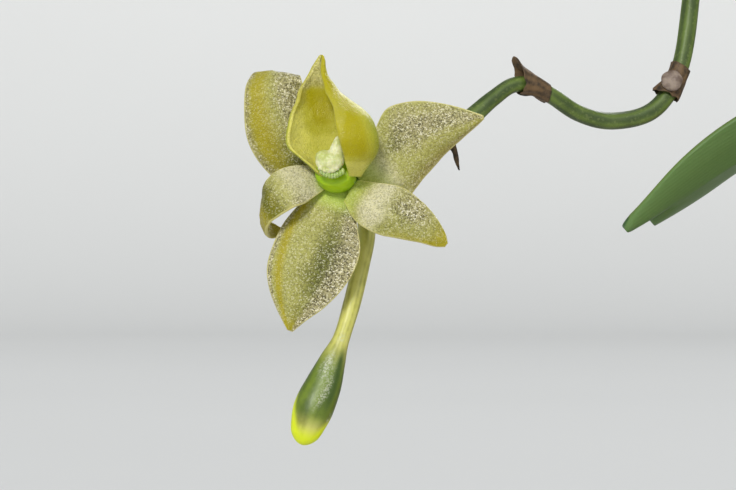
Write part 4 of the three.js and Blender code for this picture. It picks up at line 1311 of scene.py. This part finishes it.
def weather(pot):
    layers = mark_layers(pot)
    for v in pot.verts:
        radius = hypot(v.co.x, v.co.y)
        outside = radius > inner_radius(v.co.z) + 1.5 and v.co.z > 0.5
        bands = bell(v.co.z, 3, 7) + 0.6 * bell(v.co.z, BAND_FOOT - 1, 5) + 0.8 * bell(v.co.z, POT_HEIGHT, 4)
        v[layers["bloom"]] = bands
        if outside and radius > 1:
            ring = 0.07 * noise.noise(Vector((0, 0, v.co.z * 1.1))) + 0.08 * noise.noise(v.co * 0.06)
            v.co.x += v.co.x / radius * (ring - 0.08)
            v.co.y += v.co.y / radius * (ring - 0.08)
    return pot


pot = piece("turned_pot", [weather(cut_drains(pot_shape()))], CLAY_SKIN, "clay", "clay_pot")
soft_edge = pot.modifiers.new("soft edges", "BEVEL")
soft_edge.width = 0.35 * MM
soft_edge.segments = 2
soft_edge.limit_method = "ANGLE"
soft_edge.angle_limit = radians(30)

# %% [markdown]
# ## The bark
# Orchids stand in coarse fir bark, which drains at once. Each chip is a cube with its corners drawn in,
# rounded and roughened in layers. The big chips lie where the solid has them, and a second scatter of small
# ones fills the gaps. A golden-angle spiral spreads them evenly, and the seeded draw repeats each run.

# %% Bark skin
def bark_skin():
    skin = Finish("fir bark")
    layer = skin.noise(620, 5, 0.7, skin.stretched(1, 1, 2.5))
    fine = skin.noise(3200, 4, 0.7)
    lot = skin.mark("wash")
    colour = skin.mix(skin.smooth(layer + 0.3 * lot, 0.42, 0.85), (62, 38, 26), (142, 92, 58))
    colour = skin.mix(skin.smooth(fine + 0.2 * lot, 0.62, 0.9) * 0.6, colour, (176, 132, 92))
    return skin.close(colour, 0.92 - 0.12 * fine, skin.bump(layer + 0.4 * fine, 0.0004, 0.6))


BARK_SKIN = bark_skin()

# %% Chips
BARK_TOP, BARK_GAP = 47, 0.4
GOLDEN_ANGLE = 137.508


def chip(centre, size, turn, corners, grain):
    lump = bmesh.new()
    bmesh.ops.create_cube(lump, size=2)
    bmesh.ops.subdivide_edges(lump, edges=lump.edges[:], cuts=6, use_grid_fill=True)
    layers = mark_layers(lump)
    spun = Euler(turn).to_matrix()
    for v in lump.verts:
        x, y, z = v.co
        push = (abs(x) ** 6 + abs(y) ** 6 + abs(z) ** 6) ** (1 / 6)
        blend = [(1 + x) / 2, (1 + y) / 2, (1 + z) / 2]
        share = 0
        for corner in range(8):
            part = 1
            for axis in range(3):
                part *= blend[axis] if corner >> axis & 1 else 1 - blend[axis]
            share += part * corners[corner]
        spot = Vector((x * share, y * share, z)) / push
        spot = Vector([spot[i] * size[i] / 2 for i in range(3)])
        rough = noise.noise_vector(Vector((spot.x * 0.5, spot.y * 0.9, spot.z * 2.2)) + Vector(grain))
        spot = spun @ (spot + rough * 0.55) + centre
        wall = inner_radius(max(spot.z, POT_FLOOR)) - BARK_GAP
        away = hypot(spot.x, spot.y)
        if away > wall:
            spot.x *= wall / away
            spot.y *= wall / away
        v[layers["wash"]] = grain[0] % 1
        v.co = spot
    bmesh.ops.recalc_face_normals(lump, faces=lump.faces[:])
    return lump


# Each range holds the lowest and the highest draw. Big chips lie across the spiral, small ones anyhow.
BIG_CHIPS = {
    "count": 40, "seed": 7, "start": 0, "spread": 23, "rise": (0.6, 2.4), "corner": 0.72,
    "sizes": [(7.7, 12.1), (4.55, 7.15), (3.2, 4.8)],
    "turns": [(-0.25, 0.25), (-0.25, 0.25), (-0.4, 0.4)], "across": 1,
    "grain": (3.7, 1.3, 0.7), "shift": (0, 0, 0),
}
SMALL_CHIPS = {
    "count": 70, "seed": 11, "start": 60, "spread": 27.5, "rise": (-0.4, 2.2), "corner": 0.6,
    "sizes": [(3.5, 6.5), (2.5, 4), (1.6, 2.8)],
    "turns": [(-0.5, 0.5), (-0.5, 0.5), (0, 6.28)], "across": 0,
    "grain": (2.3, 1.9, 0.9), "shift": (0.5, 0, 0),
}


def scattered(form):
    state = form["seed"]

    def draw(low, high):
        nonlocal state
        state = (state * 1664525 + 1013904223) % 2**32
        return low + (high - low) * (state / 2**32)

    for i in range(form["count"]):
        angle = i * GOLDEN_ANGLE
        centre = outward(angle + form["start"]) * form["spread"] * sqrt((i + 0.5) / form["count"])
        centre.z = BARK_TOP + draw(*form["rise"])
        size = [draw(*pair) for pair in form["sizes"]]
        turn = [draw(*pair) for pair in form["turns"]]
        turn[2] += form["across"] * radians(angle + 90)
        corners = [draw(form["corner"], 1) for _ in range(8)]
        grain = [step * i + shift for step, shift in zip(form["grain"], form["shift"])]
        yield chip(centre, size, turn, corners, grain)


def bark_bed():
    bottom, top = POT_FLOOR + BARK_GAP, BARK_TOP - 0.8
    low, high = inner_radius(bottom) - BARK_GAP, inner_radius(BARK_TOP) - BARK_GAP
    bed = turned([(0, bottom), (low, bottom), (high, top), (0, top)], 96, 1e-4, 24, 2)
    mark_layers(bed)
    for v in bed.verts:
        if v.co.z > BARK_TOP - 1:
            v.co.z += 0.7 * noise.noise(v.co * 0.5)
    return bed


chips = [bark_bed(), *scattered(BIG_CHIPS), *scattered(SMALL_CHIPS)]
piece("bark_chips", chips, BARK_SKIN, "bark", "bark_fill")

# %% [markdown]
# ## Floor and light
# The plant stands on a plain pale floor that curves up far away, so no horizon cuts the picture from any
# side. A broad sun is the main light, because it lights the plant and the far floor alike. A second one from
# behind shines through the thin blades, and a mild grey sky fills the shadows.

# %% The floor
def floor_skin():
    skin = Finish("pale floor")
    return skin.close(skin.mix(skin.noise(1.2), (206, 206, 204), (212, 212, 210)), 0.9)


# The wall stays so low that neither light is hidden behind it.
FLOOR_FLAT, FLOOR_BEND = 3.2, 1.3


FLOOR_ARC = [radians(90 * k / 24) for k in range(25)]
bowl = [(FLOOR_FLAT + FLOOR_BEND * sin(a), FLOOR_BEND * (1 - cos(a))) for a in FLOOR_ARC]
floor = joined("studio_floor", [turned([(0, 0), *bowl], 96, 1e-5)])
floor.data.materials.append(floor_skin())

# %% The lights
def sun(name, strength, width, direction, colour=(1, 1, 1)):
    light = bpy.data.lights.new(name, "SUN")
    light.energy = strength
    light.angle = radians(width)
    light.color = colour
    put(name, light).rotation_euler = Vector(direction).to_track_quat("-Z", "Y").to_euler()
    print(name, "strength:", strength)


sun("main light", 2.2, 14, (0.2, 0.9, -0.5))
sun("fill light", 0.5, 30, (-0.6, 0.7, -0.42))
sun("light from behind", 1.2, 30, (-0.3, -0.8, -0.5))
sky = bpy.data.worlds.new("studio sky")
sky.use_nodes = True
sky.node_tree.nodes["Background"].inputs["Color"].default_value = (0.9, 0.95, 1, 1)
sky.node_tree.nodes["Background"].inputs["Strength"].default_value = 0.4
bpy.context.scene.world = sky
bpy.context.scene.view_settings.view_transform = "Standard"

# %% [markdown]
# ## The camera
# The picture is a close view of the flower from its front, on a level with it. A long lens from a little over
# twenty centimetres away gives the flat perspective of a macro picture.

# %% The camera
lens = bpy.data.cameras.new("macro camera")
lens.lens = 200
lens.sensor_width = 36
lens.clip_start = 0.01
lens.clip_end = 50
camera = put("macro camera", lens)
camera.location = Vector((-72.875, -230, 75.06)) * MM
camera.rotation_euler = (radians(90), 0, 0)
bpy.context.scene.camera = camera
print("camera at:", *camera.location)
